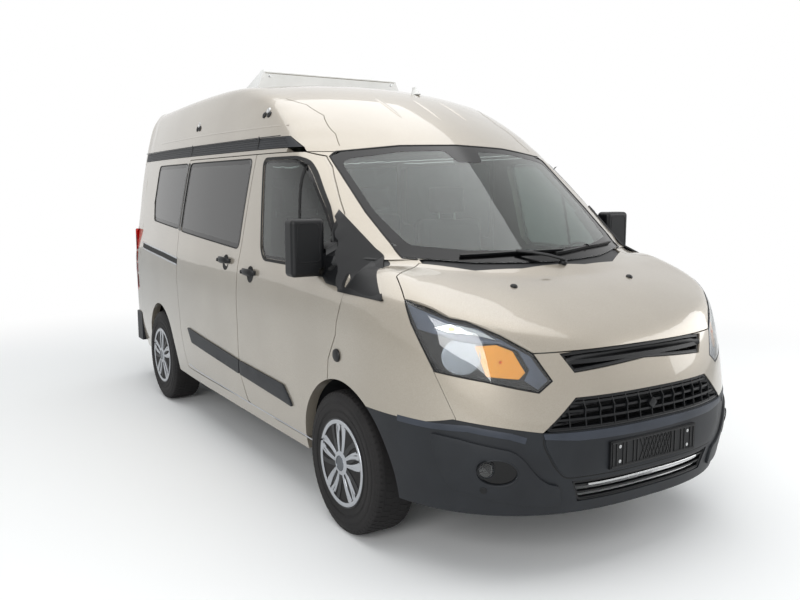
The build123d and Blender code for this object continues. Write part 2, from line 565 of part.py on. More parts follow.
# ---------------------------------------------------------------- underbody and floor
HOUSE_WALL = 6.0
front_house_radius = ARCH_RADIUS + 20
FRONT_HOUSE_X = 560.0         # inner wall of the front wheelhouses
REAR_HOUSE_X = 690.0
HOUSE_END_X = HALF_WIDTH - PANEL - 75
FLOOR_HALF = HALF_WIDTH - PANEL - 92
REAR_FLOOR_HALF = HALF_WIDTH - PANEL - 157
SILL_BEAM_X = HALF_WIDTH - PANEL - 57
ARCH_Y = FRONT_AXLE_Y - 20    # middle of the front arches
floor = box((-FLOOR_HALF, FLOOR_HALF), (-1640, 2150), (FLOOR_BOTTOM_Z, FLOOR_TOP_Z))
floor = floor + box((-REAR_FLOOR_HALF, REAR_FLOOR_HALF), (2150, 2320), (FLOOR_BOTTOM_Z, FLOOR_TOP_Z))
firewall = box((-780, 780), (-1640, -1612), (FLOOR_TOP_Z, 1120))
side_clear = body_skin(side_line, spaced(0, 1, 30), spaced(480, 700, 6), -8, PANEL + SEAT_GAP)
back_clear = body_skin(back_line, spaced(-800, 800, 19), spaced(520, 700, 6), -8, PANEL + 0.8)
door_rest = box((-1000, 15 - FLOOR_HALF), (-1000, 2060), (FLOOR_BOTTOM_Z, FLOOR_TOP_Z + 30)) - side_clear
door_rest = door_rest - box((-1000, 0), (880, 2000), (0, 1000)) - box((-1000, 0), (-400, 200), (0, 1000))
rear_rest = box((-760, 760), (2280, 2400), (FLOOR_BOTTOM_Z, 610)) - back_clear
rear_rest = min(rear_rest.solids(), key=lambda solid: solid.center().Y)
rests = [min(solid_group, key=lambda solid: abs(solid.center().X)) for solid_group in
         ([solid for solid in door_rest.solids() if solid.center().Y < 0],
          [solid for solid in door_rest.solids() if 0 < solid.center().Y < 900])]
sill_beam = box((-SILL_BEAM_X, -790), (-1060, 1030), (330, FLOOR_BOTTOM_Z))
RAIL_X = (440.0, 520.0)
RAIL_BOTTOM_Z = 400.0
long_beam = box((-RAIL_X[1], -RAIL_X[0]), (-2250, 2300), (RAIL_BOTTOM_Z, FLOOR_BOTTOM_Z))
cross_beam = box((-RAIL_X[0], RAIL_X[0]), (-60, 20), (420, FLOOR_BOTTOM_Z))
rear_cross = box((-740, 740), (2240, 2320), (380, FLOOR_BOTTOM_Z))
front_cross = box((-540, 540), (-2330, -2250), (RAIL_BOTTOM_Z, FLOOR_BOTTOM_Z))
floor = floor + firewall + sill_beam + left(sill_beam) + long_beam + left(long_beam)
engine_beam = box((-RAIL_X[0], RAIL_X[0]), (-2010, -1930), (460, FLOOR_BOTTOM_Z))
floor = floor + cross_beam + rear_cross + front_cross + engine_beam + rear_rest
for rest in rests:
    floor = floor + rest + left(rest)
front_house = across_cylinder(front_house_radius, (-1000, -FRONT_HOUSE_X), ARCH_Y, TYRE_RADIUS)
rear_house = across_cylinder(ARCH_RADIUS + HOUSE_WALL, (-1000, -REAR_HOUSE_X), REAR_AXLE_Y, TYRE_RADIUS)
floor = floor - front_house - left(front_house) - rear_house - left(rear_house)
house = across_cylinder(ARCH_RADIUS + HOUSE_WALL, (-HOUSE_END_X, -REAR_HOUSE_X), REAR_AXLE_Y, TYRE_RADIUS)
house = house - across_cylinder(ARCH_RADIUS, (-1000, -REAR_HOUSE_X - HOUSE_WALL), REAR_AXLE_Y, TYRE_RADIUS)
house = house & box((-1000, 0), (0, 3000), (FLOOR_BOTTOM_Z, 900))
TOW_BOLT_Y = (2140.0, 2200.0)
TOW_BOLT_RADIUS = 6.5
TOW_BOLT_DEPTH = 40.0
tow_bolts = [Pos(x, y, RAIL_BOTTOM_Z + TOW_BOLT_DEPTH / 2) * Cylinder(TOW_BOLT_RADIUS, TOW_BOLT_DEPTH)
             for x in (-480, 480) for y in TOW_BOLT_Y]
floor = floor + house + left(house)
for hole in tow_bolts:
    floor = floor - hole
keep("floor_pan", biggest(floor))

liner_radius = front_house_radius - SEAT_GAP
arch_liner = across_cylinder(liner_radius, (-915, -FRONT_HOUSE_X), ARCH_Y, TYRE_RADIUS)
arch_liner = arch_liner - across_cylinder(liner_radius - HOUSE_WALL, (-1000, 0), ARCH_Y, TYRE_RADIUS)
arch_liner = arch_liner & box((-1000, 0), (-3000, 0), (TYRE_RADIUS + 90, 900))
arch_liner = biggest(arch_liner - fender_wall - nose_wall - side_wall)
keep("arch_liners", arch_liner, left(arch_liner))

FLAP = 6.0
front_flap_y = -1060 - SEAT_GAP
front_flap = box((-SILL_BEAM_X - 5, -790), (front_flap_y - FLAP, front_flap_y), (170, 410))
rear_flap_y = REAR_AXLE_Y + ARCH_RADIUS + 4
rear_flap = box((13 - FLOOR_HALF, -750), (rear_flap_y, rear_flap_y + FLAP), (170, FLOOR_BOTTOM_Z - SEAT_GAP))
keep("mud_flaps", front_flap, left(front_flap), rear_flap, left(rear_flap))

keep("engine_block", box((-330, 330), (-2230, -1680), (FLOOR_BOTTOM_Z + SEAT_GAP, 940)))
bonnet_clear = body_skin(bonnet_line, spaced(-2560, -2200, 12), spaced(-0.6, 0.6, 15), -8, SKIN + SEAT_GAP)
radiator = box((-330, 330), (-2325, -2275), (FLOOR_BOTTOM_Z + SEAT_GAP, 1200)) - bonnet_clear
keep("radiator", min(radiator.solids(), key=lambda solid: solid.center().Z))
ARM_Z = (250.0, 275.0)
ARM_END_X = 812.0
STRUT_X = 640.0
subframe = box((-430, 430), (FRONT_AXLE_Y - 150, FRONT_AXLE_Y + 150), (250, 300))
for side in (-1, 1):
    post_x = sorted((side * 520.0, side * 380.0))
    subframe = subframe + box(post_x, (FRONT_AXLE_Y - 150, FRONT_AXLE_Y - 90), (250, RAIL_BOTTOM_Z - SEAT_GAP))
    subframe = subframe + box(post_x, (FRONT_AXLE_Y + 90, FRONT_AXLE_Y + 150), (250, RAIL_BOTTOM_Z - SEAT_GAP))
    arm_x = sorted((side * ARM_END_X, side * 400.0))
    subframe = subframe + box(arm_x, (FRONT_AXLE_Y - 35, FRONT_AXLE_Y + 35), ARM_Z)
    strut_top = 749.0
    strut = Pos(side * STRUT_X, FRONT_AXLE_Y, (ARM_Z[0] + strut_top) / 2) * Cylinder(27, strut_top - ARM_Z[0])
    spring = Pos(side * STRUT_X, FRONT_AXLE_Y, 590) * Cylinder(58, 220)
    subframe = subframe + strut + spring
keep("front_subframe", subframe)

HUB_INNER = 59.7              # from a tyre's middle to the inner face of its hub, and the bearing gap
AXLE_RADIUS = 40.0
axle_end = REAR_TRACK_HALF + HUB_INNER
rear_axle = across_cylinder(AXLE_RADIUS, (-axle_end, axle_end), REAR_AXLE_Y, TYRE_RADIUS)
SPRING_X = (455.0, 515.0)
spring_top = RAIL_BOTTOM_Z - SEAT_GAP
for side in (-1, 1):
    spring_x = sorted((side * SPRING_X[0], side * SPRING_X[1]))
    rear_axle = rear_axle + box(spring_x, (REAR_AXLE_Y - 600, REAR_AXLE_Y + 600), (spring_top - 18, spring_top))
    rear_axle = rear_axle + box(spring_x, (REAR_AXLE_Y - 60, REAR_AXLE_Y + 60), (TYRE_RADIUS - 60, spring_top - 10))
keep("rear_axle", rear_axle)
keep("fuel_tank", box((-430, 430), (100, 900), (290, FLOOR_BOTTOM_Z - SEAT_GAP)))

# ---------------------------------------------------------------- wheels
BEAD = RIM_RADIUS + SEAT_GAP


def tyre():
    """A tyre whose axle is the X axis, its middle at the origin."""
    half = TYRE_WIDTH / 2
    low, middle, high = (BEAD + share * (TYRE_RADIUS - BEAD) for share in (0.16, 0.52, 0.75))
    profile = [(BEAD, -half + 16), (low, -half + 4), (middle, -half), (high, -half + 3),
               (TYRE_RADIUS - 6, -half + 16), (TYRE_RADIUS, -half + 40), (TYRE_RADIUS, half - 40),
               (TYRE_RADIUS - 6, half - 16), (high, half - 3), (middle, half),
               (low, half - 4), (BEAD, half - 16)]
    section = Plane.XZ * make_face(rounded(profile, 6))
    return Rot(0, 90, 0) * revolve(section, Axis.Z)


TRIM_RADIUS = 213.0
TRIM_INSET = 1.5              # how far the outer face of a wheel trim stands inside its tyre's side
TRIM_FACE = TYRE_WIDTH / 2 - TRIM_INSET
TRIM = 8.5
SPOKES = 5                    # pairs of spokes


def spoke(angle, bend):
    """One curved spoke of the trim, outlined by formula, bending more towards the rim."""
    edges = []
    for side in (-1, 1):
        edge = []
        for radius in (45, 85, 125, 165, 195):
            turn = math.radians(angle) + bend * ((radius - 45) / 150) ** 2
            half = side * (15.0 - 4.0 * math.sin(math.pi * (radius - 45) / 150)) / radius
            edge.append((radius * math.cos(turn + half), radius * math.sin(turn + half)))
        edges.append(edge)
    return make_face(Polyline(*edges[0], *reversed(edges[1]), close=True))


def rim():
    """Barrel, steel web, hub and spoked trim; the trim looks along -X."""
    trim = Circle(TRIM_RADIUS) - Circle(182) + Circle(58)
    for k in range(SPOKES):
        angle = 90 + 360 * k / SPOKES
        trim = trim + spoke(angle - 15, 0.16) + spoke(angle + 15, -0.16)
    trim = Rot(0, -90, 0) * (Pos(0, 0, TRIM_FACE - TRIM) * extrude(trim, amount=TRIM))
    barrel_end = TYRE_WIDTH / 2 - 20
    barrel = across_cylinder(RIM_RADIUS, (-TRIM_FACE + TRIM, barrel_end), 0, 0)
    barrel = barrel - across_cylinder(RIM_RADIUS - 9, (-200, 200), 0, 0)
    web = across_cylinder(RIM_RADIUS - 5, (-74, -67), 0, 0)
    for k in range(2 * SPOKES):
        web = web - Rot(36 * k + 18, 0, 0) * (Pos(-70, 0, 150) * Rot(0, 90, 0) * Cylinder(20, 40))
    hub = across_cylinder(50, (-TRIM_FACE + 1, -HUB_INNER - SEAT_GAP), 0, 0)
    return trim + barrel + web + hub


right_tyre, right_rim = tyre(), rim()
for axle, axle_y, track in (("front", FRONT_AXLE_Y, FRONT_TRACK_HALF), ("rear", REAR_AXLE_Y, REAR_TRACK_HALF)):
    place = Pos(-track, axle_y, TYRE_RADIUS)
    keep(f"tyre_{axle}_right", place * right_tyre)
    keep(f"tyre_{axle}_left", left(place * right_tyre))
    keep(f"rim_{axle}_right", place * right_rim)
    keep(f"rim_{axle}_left", left(place * right_rim))

# ---------------------------------------------------------------- front knuckles
stub_end = FRONT_TRACK_HALF + HUB_INNER
knuckle = box((-KINGPIN_X - 25, -KINGPIN_X + 25), (FRONT_AXLE_Y - 45, FRONT_AXLE_Y + 45), (290, 420))
knuckle = knuckle + across_cylinder(AXLE_RADIUS, (-stub_end, -KINGPIN_X), FRONT_AXLE_Y, TYRE_RADIUS)
ball_joint_low = ARM_Z[1] + SEAT_GAP
knuckle = knuckle + Pos(-KINGPIN_X, FRONT_AXLE_Y, (ball_joint_low + 300) / 2) * Cylinder(16, 300 - ball_joint_low)
keep("knuckle_right", knuckle)
keep("knuckle_left", left(knuckle))

# ---------------------------------------------------------------- cabin
DASH_TOP_Z = 1150.0
dash_front = -1612 + SEAT_GAP
dash_outline = [(dash_front, 880), (dash_front, 1118), (-1420, DASH_TOP_Z), (-1290, 1120), (-1250, 1040), (-1300, 880)]
dashboard = prism_x(dash_outline, start=-790, end=790)
STEERING_AT = (400.0, -1130.0, 1090.0)
STEERING_LEAN = 62.0          # how far the steering column leans back from upright
at_wheel = Pos(*STEERING_AT) * Rot(-STEERING_LEAN, 0, 0)
column = at_wheel * (Pos(0, 0, -20 - 130) * Cylinder(34, 260))
keep("dashboard", dashboard + column)
steering = Torus(188, 15) + Cylinder(56, 40 - 2 * SEAT_GAP)
steering = steering + Box(370, 26, 12) + Pos(0, -95, 0) * Box(26, 180, 12)
keep("steering_wheel", at_wheel * steering)

SEAT_TOP_Z = 880.0
CUSHION = 140.0
BACK_HEIGHT = 560.0
SEAT_DEPTH = 500.0


def seats(middle_x, width, front_y, places):
    """A seat or bench: cushion on its plinth, leaning back and headrests in one closed solid."""
    half = width / 2
    low = SEAT_TOP_Z - CUSHION
    rear_y = front_y + SEAT_DEPTH
    cushion = [(front_y, low + 20), (front_y, SEAT_TOP_Z - 25), (front_y + 60, SEAT_TOP_Z),
               (rear_y - 60, SEAT_TOP_Z - 20), (rear_y, SEAT_TOP_Z + BACK_HEIGHT),
               (rear_y + 95, SEAT_TOP_Z + BACK_HEIGHT), (rear_y + 60, low)]
    body = prism_x(cushion, start=middle_x - half, end=middle_x + half)
    body = body + box((middle_x - half + 50, middle_x + half - 50), (front_y + 70, rear_y - 20),
                      (FLOOR_TOP_Z + SEAT_GAP, low + 20))
    rest = [(rear_y + 15, SEAT_TOP_Z + BACK_HEIGHT - 5), (rear_y + 25, SEAT_TOP_Z + BACK_HEIGHT + 190),
            (rear_y + 100, SEAT_TOP_Z + BACK_HEIGHT + 190), (rear_y + 90, SEAT_TOP_Z + BACK_HEIGHT - 5)]
    for place in places:
        body = body + prism_x(rest, start=middle_x + place - 130, end=middle_x + place + 130)
    return body


keep("front_seats", seats(-400, 500, -960, [0]), seats(400, 500, -960, [0]))
keep("rear_seats", seats(0, 1300, 20, [-430, 0, 430]), seats(0, 1300, 1180, [-430, 0, 430]))

# ---------------------------------------------------------------- mirrors
MIRROR_AT = (-1026.0, -1245.0, 1336.0)
mirror_head = Pos(*MIRROR_AT) * Box(172, 95, 272)
mirror_head = fillet(mirror_head.edges(), 22)
mirror_arm = prism_y([(-1000, 1312), (-1000, 1205), (-890, 1188), (-890, 1306)], start=-1288, end=-1222)
door_mirror = biggest((mirror_head + mirror_arm) - side_wall)
keep("mirror_right", door_mirror)
keep("mirror_left", left(door_mirror))

if __name__ == "__main__":
    os.makedirs("parts", exist_ok=True)
    for name, solids in PIECES.items():
        export_step(Compound(children=solids) if len(solids) > 1 else solids[0], f"parts/{name}.step")
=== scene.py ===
# %% [markdown]
# A windowed high-roof panel van, finished in Blender.
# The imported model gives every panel, wheel and hinge its place. This script gives them their finish and adds
# what is too fine for the construction model: trim, lamps' insides, tread, seams, cloth.
# Everything is in metres: +Z is up, the front faces -Y and the van's right side is -X.

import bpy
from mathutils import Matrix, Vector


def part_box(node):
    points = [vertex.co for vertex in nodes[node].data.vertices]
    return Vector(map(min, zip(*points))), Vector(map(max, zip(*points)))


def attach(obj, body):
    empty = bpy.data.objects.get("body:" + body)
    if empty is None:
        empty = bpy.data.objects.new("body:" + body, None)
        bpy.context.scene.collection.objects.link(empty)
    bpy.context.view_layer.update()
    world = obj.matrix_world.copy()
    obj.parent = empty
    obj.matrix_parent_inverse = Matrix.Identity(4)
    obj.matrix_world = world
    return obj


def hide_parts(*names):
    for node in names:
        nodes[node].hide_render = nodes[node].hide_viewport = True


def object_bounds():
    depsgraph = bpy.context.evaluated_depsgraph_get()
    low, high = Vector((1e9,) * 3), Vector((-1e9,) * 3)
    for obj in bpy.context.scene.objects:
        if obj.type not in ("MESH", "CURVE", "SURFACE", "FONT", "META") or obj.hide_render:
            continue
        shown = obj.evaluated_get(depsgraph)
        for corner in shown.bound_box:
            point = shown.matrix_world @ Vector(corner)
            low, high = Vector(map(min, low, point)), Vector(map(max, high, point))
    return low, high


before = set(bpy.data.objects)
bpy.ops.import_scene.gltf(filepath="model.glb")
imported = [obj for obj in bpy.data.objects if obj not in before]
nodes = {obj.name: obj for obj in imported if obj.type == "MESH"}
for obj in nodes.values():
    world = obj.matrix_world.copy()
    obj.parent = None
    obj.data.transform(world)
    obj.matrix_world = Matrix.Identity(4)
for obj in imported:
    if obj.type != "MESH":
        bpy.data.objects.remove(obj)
cad_low, cad_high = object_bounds()
print("CAD box", [round(v, 3) for v in cad_low], [round(v, 3) for v in cad_high])

import math


import bmesh
import bpy

from mathutils import Matrix, Vector
from mathutils.bvhtree import BVHTree
from mathutils.geometry import delaunay_2d_cdt

MM = 0.001
MIDDLE_Y = (cad_low.y + cad_high.y) / 2
TYRE_RADIUS = (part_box("tyre_front_right")[1].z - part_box("tyre_front_right")[0].z) / 2

# %% [markdown]
# Colours are written as hex values, as a paint maker gives them. Blender's shaders work in linear light, so
# one function turns a hex value into linear numbers. A second small function adds a shader node with its
# settings and its links, which keeps each material readable.


# %% Colour and shader helpers
def linear(hex_colour, alpha=1.0):
    """A hex colour as linear red, green, blue and alpha."""
    values = [int(hex_colour[i:i + 2], 16) / 255 for i in (1, 3, 5)]
    return tuple(v / 12.92 if v <= 0.04045 else ((v + 0.055) / 1.055) ** 2.4 for v in values) + (alpha,)


def add(tree, kind, settings=None, links=None, **attributes):
    """Adds one shader node, sets its sockets by name, and links its inputs from other nodes' outputs."""
    made = tree.nodes.new(kind)
    for name, value in attributes.items():
        setattr(made, name, value)
    for name, value in (settings or {}).items():
        made.inputs[name].default_value = value
    for name, (source, output) in (links or {}).items():
        tree.links.new(source.outputs[output], made.inputs[name])
    return made


def start_material(name):
    """An empty material with only its output node."""
    material = bpy.data.materials.new(name)
    material.use_nodes = True
    material.node_tree.nodes.clear()
    return material, material.node_tree


def finish_material(material, shader, output="BSDF"):
    tree = material.node_tree
    end = tree.nodes.new("ShaderNodeOutputMaterial")
    tree.links.new(shader.outputs[output], end.inputs["Surface"])
    return material


# %% [markdown]
# Metallic car paint is a coloured base with fine aluminium flakes under a clear, hard coat. The coat gives the
# sharp highlights and the flakes make the colour lift where light meets the surface squarely. The flakes are
# about 0.05 mm in reality; they are drawn about 1.5 mm wide so that they show at all.


# %% Painted panels
def car_paint(name, deep, bright, flake_mm=1.5):
    material, tree = start_material(name)
    place = add(tree, "ShaderNodeTexCoord")
    flakes = add(tree, "ShaderNodeTexVoronoi", {"Scale": 1 / (flake_mm * MM)}, {"Vector": (place, "Object")})
    haze = add(tree, "ShaderNodeTexNoise", {"Scale": 2.2, "Detail": 2.0}, {"Vector": (place, "Object")})
    both = add(tree, "ShaderNodeMath", {1: 0.5}, {0: (flakes, "Color")}, operation="MULTIPLY")
    sum_up = add(tree, "ShaderNodeMath", {}, {0: (both, 0), 1: (haze, 0)}, operation="MULTIPLY")
    ramp = add(tree, "ShaderNodeValToRGB", {}, {"Fac": (sum_up, 0)})
    ramp.color_ramp.elements[0].color = linear(deep)
    ramp.color_ramp.elements[1].color = linear(bright)
    ramp.color_ramp.elements[1].position = 0.42
    shader = add(tree, "ShaderNodeBsdfPrincipled",
                 {"Metallic": 0.55, "Roughness": 0.38, "Coat Weight": 1.0, "Coat Roughness": 0.035,
                  "Coat IOR": 1.5}, {"Base Color": (ramp, "Color")})
    return finish_material(material, shader)


champagne_paint = car_paint("champagne_metallic_paint", "#948C7F", "#B1A99C")
print("made", champagne_paint.name)

# %% [markdown]
# Unpainted bumpers, mirror caps and strips are injection-moulded polypropylene. The mould is etched with a
# fine grain, so the plastic looks dull with a soft sheen. The grain is about 0.6 mm; two sizes of noise in the
# bump and a slight change of colour keep it from looking like flat grey.


# %% Moulded plastics
def moulded_plastic(name, colour, light, grain_mm=0.9, roughness=0.5, depth=0.25):
    material, tree = start_material(name)
    place = add(tree, "ShaderNodeTexCoord")
    grain = add(tree, "ShaderNodeTexNoise", {"Scale": 1 / (grain_mm * MM), "Detail": 3.0},
                {"Vector": (place, "Object")})
    cloud = add(tree, "ShaderNodeTexNoise", {"Scale": 6.0, "Detail": 3.0}, {"Vector": (place, "Object")})
    ramp = add(tree, "ShaderNodeValToRGB", {}, {"Fac": (cloud, 0)})
    ramp.color_ramp.elements[0].color = linear(colour)
    ramp.color_ramp.elements[0].position = 0.3
    ramp.color_ramp.elements[1].color = linear(light)
    ramp.color_ramp.elements[1].position = 0.75
    bump = add(tree, "ShaderNodeBump", {"Strength": depth, "Distance": 0.0002}, {"Height": (grain, 0)})
    shader = add(tree, "ShaderNodeBsdfPrincipled", {"Roughness": roughness, "IOR": 1.49, "Specular IOR Level": 0.32},
                 {"Base Color": (ramp, "Color"), "Normal": (bump, "Normal")})
    return finish_material(material, shader)


bumper_plastic = moulded_plastic("grained_grey_polypropylene", "#17191D", "#1E2125")
# A lighter blue-grey plastic is painted highlight: it stands for the light that the bumper's top chamfer and upper
# edges catch.
bumper_sheen = moulded_plastic("weathered_grey_polypropylene", "#2C3038", "#373C45", roughness=0.45)
trim_plastic = moulded_plastic("grained_black_polypropylene", "#08090B", "#0E0F11", roughness=0.42)
cabin_plastic = moulded_plastic("grained_cabin_polypropylene", "#2B2D30", "#36383B", roughness=0.6)
gloss_black = moulded_plastic("gloss_black_abs", "#030304", "#060607", grain_mm=3.0, roughness=0.16, depth=0.02)
white_plastic = moulded_plastic("white_gelcoat", "#DADAD7", "#E6E6E4", grain_mm=4.0, roughness=0.28, depth=0.03)
liner_felt = moulded_plastic("pressed_felt_liner", "#101113", "#191A1C", grain_mm=4.0, roughness=0.9, depth=0.7)
print("plastics", bumper_plastic.name, trim_plastic.name, cabin_plastic.name)

# %% [markdown]
# Car glass is 5 mm thick. The front glass is nearly clear with a faint green tint, the rear windows are deeply
# tinted privacy glass. A Principled shader with full transmission bends the light; a tint is its base colour.


# %% Glass and lenses
def car_glass(name, tint, roughness=0.0, sheen=0.5):
    material, tree = start_material(name)
    place = add(tree, "ShaderNodeTexCoord")
    dust = add(tree, "ShaderNodeTexNoise", {"Scale": 9.0, "Detail": 6.0}, {"Vector": (place, "Object")})
    film = add(tree, "ShaderNodeMapRange", {"From Min": 0.45, "From Max": 0.8, "To Min": roughness,
                                            "To Max": roughness + 0.03}, {"Value": (dust, 0)})
    shader = add(tree, "ShaderNodeBsdfPrincipled",
                 {"Base Color": linear(tint), "Transmission Weight": 1.0, "IOR": 1.5, "Specular IOR Level": sheen},
                 {"Roughness": (film, 0)})
    return finish_material(material, shader)


windscreen_glass = car_glass("laminated_windscreen_glass", "#A7B3AE", sheen=0.25)
privacy_glass = car_glass("privacy_tinted_glass", "#1B201F", sheen=0.2)
door_glass = car_glass("green_tinted_door_glass", "#6C7874", sheen=0.25)
lamp_lens = car_glass("clear_polycarbonate_lens", "#F4F6F6", sheen=0.15)
red_lens = car_glass("red_acrylic_lens", "#C2120F", roughness=0.08)
amber_lens = car_glass("amber_acrylic_lens", "#F08A12", roughness=0.05)
repeater_lens = car_glass("smoked_cream_acrylic_lens", "#E6D9BE", roughness=0.12)


# %% [markdown]
# Metals: painted silver steel for the wheel trims, bright chrome for reflectors, cast iron for knuckles and
# black chassis coating for the underbody. Each gets a little noise in roughness, because no metal surface on a
# vehicle is perfectly even.


# %% Metals
def metal(name, colour, roughness, metallic=1.0, cloud_mm=60.0, spread=0.08, coat=0.0):
    material, tree = start_material(name)
    place = add(tree, "ShaderNodeTexCoord")
    cloud = add(tree, "ShaderNodeTexNoise", {"Scale": 1 / (cloud_mm * MM), "Detail": 4.0},
                {"Vector": (place, "Object")})
    rough = add(tree, "ShaderNodeMapRange", {"To Min": max(0.02, roughness - spread), "To Max": roughness + spread},
                {"Value": (cloud, 0)})
    shader = add(tree, "ShaderNodeBsdfPrincipled",
                 {"Base Color": linear(colour), "Metallic": metallic, "Coat Weight": coat,
                  "Coat Roughness": 0.05}, {"Roughness": (rough, 0)})
    return finish_material(material, shader)


wheel_silver = metal("silver_wheel_lacquer", "#A6A9AE", 0.32, metallic=0.7, coat=0.5)
chrome = metal("vacuum_chromed_reflector", "#5F6368", 0.2, spread=0.06, cloud_mm=9.0)
mirror_silver = metal("silvered_mirror_glass", "#C9CDD0", 0.04, spread=0.02)
satin_steel = metal("satin_stainless_steel", "#BFC0C0", 0.28)
cast_iron = metal("cast_iron", "#55534F", 0.62, metallic=0.8, cloud_mm=6.0)
rim_steel = metal("black_painted_wheel_steel", "#141517", 0.5, metallic=0.2, cloud_mm=25.0)
chassis_black = metal("black_chassis_coating", "#1A1B1C", 0.55, metallic=0.0, cloud_mm=25.0)
amber_dish = metal("amber_lacquered_reflector", "#F0A648", 0.22, metallic=0.75, cloud_mm=12.0)
lamp_grey = metal("satin_grey_lamp_bezel", "#4A5364", 0.42, metallic=0.35, cloud_mm=30.0, coat=0.4)

# %% [markdown]
# Tyre rubber is black filled with carbon, which weathers to a dull dark grey.


# %% Rubber
tyre_rubber = moulded_plastic("vulcanised_tyre_rubber", "#111011", "#1C1A1A", grain_mm=1.6, roughness=0.72, depth=0.35)
seam_sealer = moulded_plastic("polyurethane_seam_sealer", "#6B6456", "#7A7263", roughness=0.7)
seal_rubber = moulded_plastic("epdm_window_seal", "#060607", "#0A0B0B", grain_mm=1.0, roughness=0.6, depth=0.2)

# %% [markdown]
# Seats are covered with a flat-woven polyester. The weave is about 1.2 mm between threads; it is drawn 2.5 mm
# wide so that it can be seen through the glass. Two crossed wave textures make the threads.


# %% Seat cloth
def woven_cloth(name, warp, weft, thread_mm=2.5):
    material, tree = start_material(name)
    place = add(tree, "ShaderNodeTexCoord")
    scale = 1 / (thread_mm * MM) / math.tau
    along = add(tree, "ShaderNodeTexWave", {"Scale": scale}, {"Vector": (place, "Object")}, bands_direction="X")
    across = add(tree, "ShaderNodeTexWave", {"Scale": scale}, {"Vector": (place, "Object")}, bands_direction="Z")
    weave = add(tree, "ShaderNodeMath", {}, {0: (along, 1), 1: (across, 1)}, operation="MULTIPLY")
    colours = add(tree, "ShaderNodeMix", {"A": linear(warp), "B": linear(weft)}, {"Factor": (weave, 0)},
                  data_type="RGBA")
    bump = add(tree, "ShaderNodeBump", {"Strength": 0.4, "Distance": 0.0006}, {"Height": (weave, 0)})
    shader = add(tree, "ShaderNodeBsdfPrincipled", {"Roughness": 0.92, "Sheen Weight": 0.3},
                 {"Base Color": (colours, "Result"), "Normal": (bump, "Normal")})
    return finish_material(material, shader)


seat_cloth = woven_cloth("flat_woven_polyester", "#33363A", "#4A4E53")
seat_piping = woven_cloth("corded_polyester_piping", "#1E2022", "#2B2D30", thread_mm=1.6)

# %% [markdown]
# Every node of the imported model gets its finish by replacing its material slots. The table says which finish
# each node has; the mesh itself is never touched.

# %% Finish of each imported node
finishes = {
    "champagne": (champagne_paint, ["body_sides", "bonnet", "fenders", "front_door_left", "front_door_right",
                                    "nose_panel", "rear_corners", "rear_door_left", "rear_door_right", "roof",
                                    "side_panel_left", "sliding_door_right", "windscreen_pillars"]),
    "grey plastic": (bumper_plastic, ["front_bumper", "rear_bumper", "roof_side_strips"]),
    "black plastic": (trim_plastic, ["cowl_panel", "grilles", "mirror_left", "mirror_right", "plate_holder",
                                     "sail_trims", "headlamp_bowls", "fuel_tank"]),
    "cabin": (cabin_plastic, ["dashboard", "steering_wheel"]),
    "felt": (liner_felt, ["arch_liners", "mud_flaps"]),
    "white": (white_plastic, ["roof_box"]),
    "windscreen": (windscreen_glass, ["windscreen"]),
    "door glass": (door_glass, ["front_door_glass_left", "front_door_glass_right"]),
    "privacy": (privacy_glass, ["side_glass", "rear_door_glass_left", "rear_door_glass_right"]),
    "lens": (lamp_lens, ["headlamp_lenses"]),
    "red lens": (red_lens, ["tail_lamps"]),
    "wheel steel": (rim_steel, ["rim_front_left", "rim_front_right", "rim_rear_left", "rim_rear_right"]),
    "rubber": (tyre_rubber, ["tyre_front_left", "tyre_front_right", "tyre_rear_left", "tyre_rear_right"]),
    "chassis": (chassis_black, ["floor_pan", "front_subframe", "rear_axle", "radiator"]),
    "iron": (cast_iron, ["engine_block", "knuckle_left", "knuckle_right"]),
    "cloth": (seat_cloth, ["front_seats", "rear_seats"]),
}
for label, (material, names) in finishes.items():
    for name in names:
        nodes[name].data.materials.clear()
        nodes[name].data.materials.append(material)
unfinished = sorted(n for n, o in nodes.items() if not any(n in names for _, names in finishes.values()))
print("nodes without a finish:", unfinished)

# %% [markdown]

# %% [markdown]
# All pieces end the same way: a mesh with outward faces, a bevel where an edge should be soft, smooth shading
# that breaks at real edges, a material and a body to ride on. One function does it, so that the cells
# below only describe shapes. The bevel is a modifier whose result is kept in the mesh.


# %% From corners and faces to a finished piece
def piece(name, corners, faces, material, body, angle=35.0, bevel=0.0, segments=2):
    mesh = bpy.data.meshes.new(name)
    mesh.from_pydata([tuple(c) for c in corners], [], faces)
    work = bmesh.new()
    work.from_mesh(mesh)
    bmesh.ops.remove_doubles(work, verts=work.verts, dist=1e-6)
    bmesh.ops.recalc_face_normals(work, faces=work.faces)
    work.to_mesh(mesh)
    work.free()
    made = bpy.data.objects.new(name, mesh)
    bpy.context.scene.collection.objects.link(made)
    if bevel:
        edge = made.modifiers.new("soft_edge", "BEVEL")
        edge.width = bevel * MM
        edge.segments = segments
        edge.limit_method = "ANGLE"
        edge.angle_limit = math.radians(50)
        settle(made)
    made.data.polygons.foreach_set("use_smooth", [True] * len(made.data.polygons))
    made.data.set_sharp_from_angle(angle=math.radians(angle))
    made.data.materials.clear()
    made.data.materials.append(material)
    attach(made, body)
    return made


def settle(made):
    """Keeps the result of an object's modifiers as its mesh."""
    graph = bpy.context.evaluated_depsgraph_get()
    baked = bpy.data.meshes.new_from_object(made.evaluated_get(graph))
    made.modifiers.clear()
    made.data = baked


# %% [markdown]
# Trim follows the panels it is fixed to. A search tree over packed panels lets a flat outline, drawn in
# millimetres, be dropped onto their curved surface: each point is shot at the van along one direction and
# stops where it meets the panel. The corner views look along 45 degrees, which suits lamps and bumper ends.

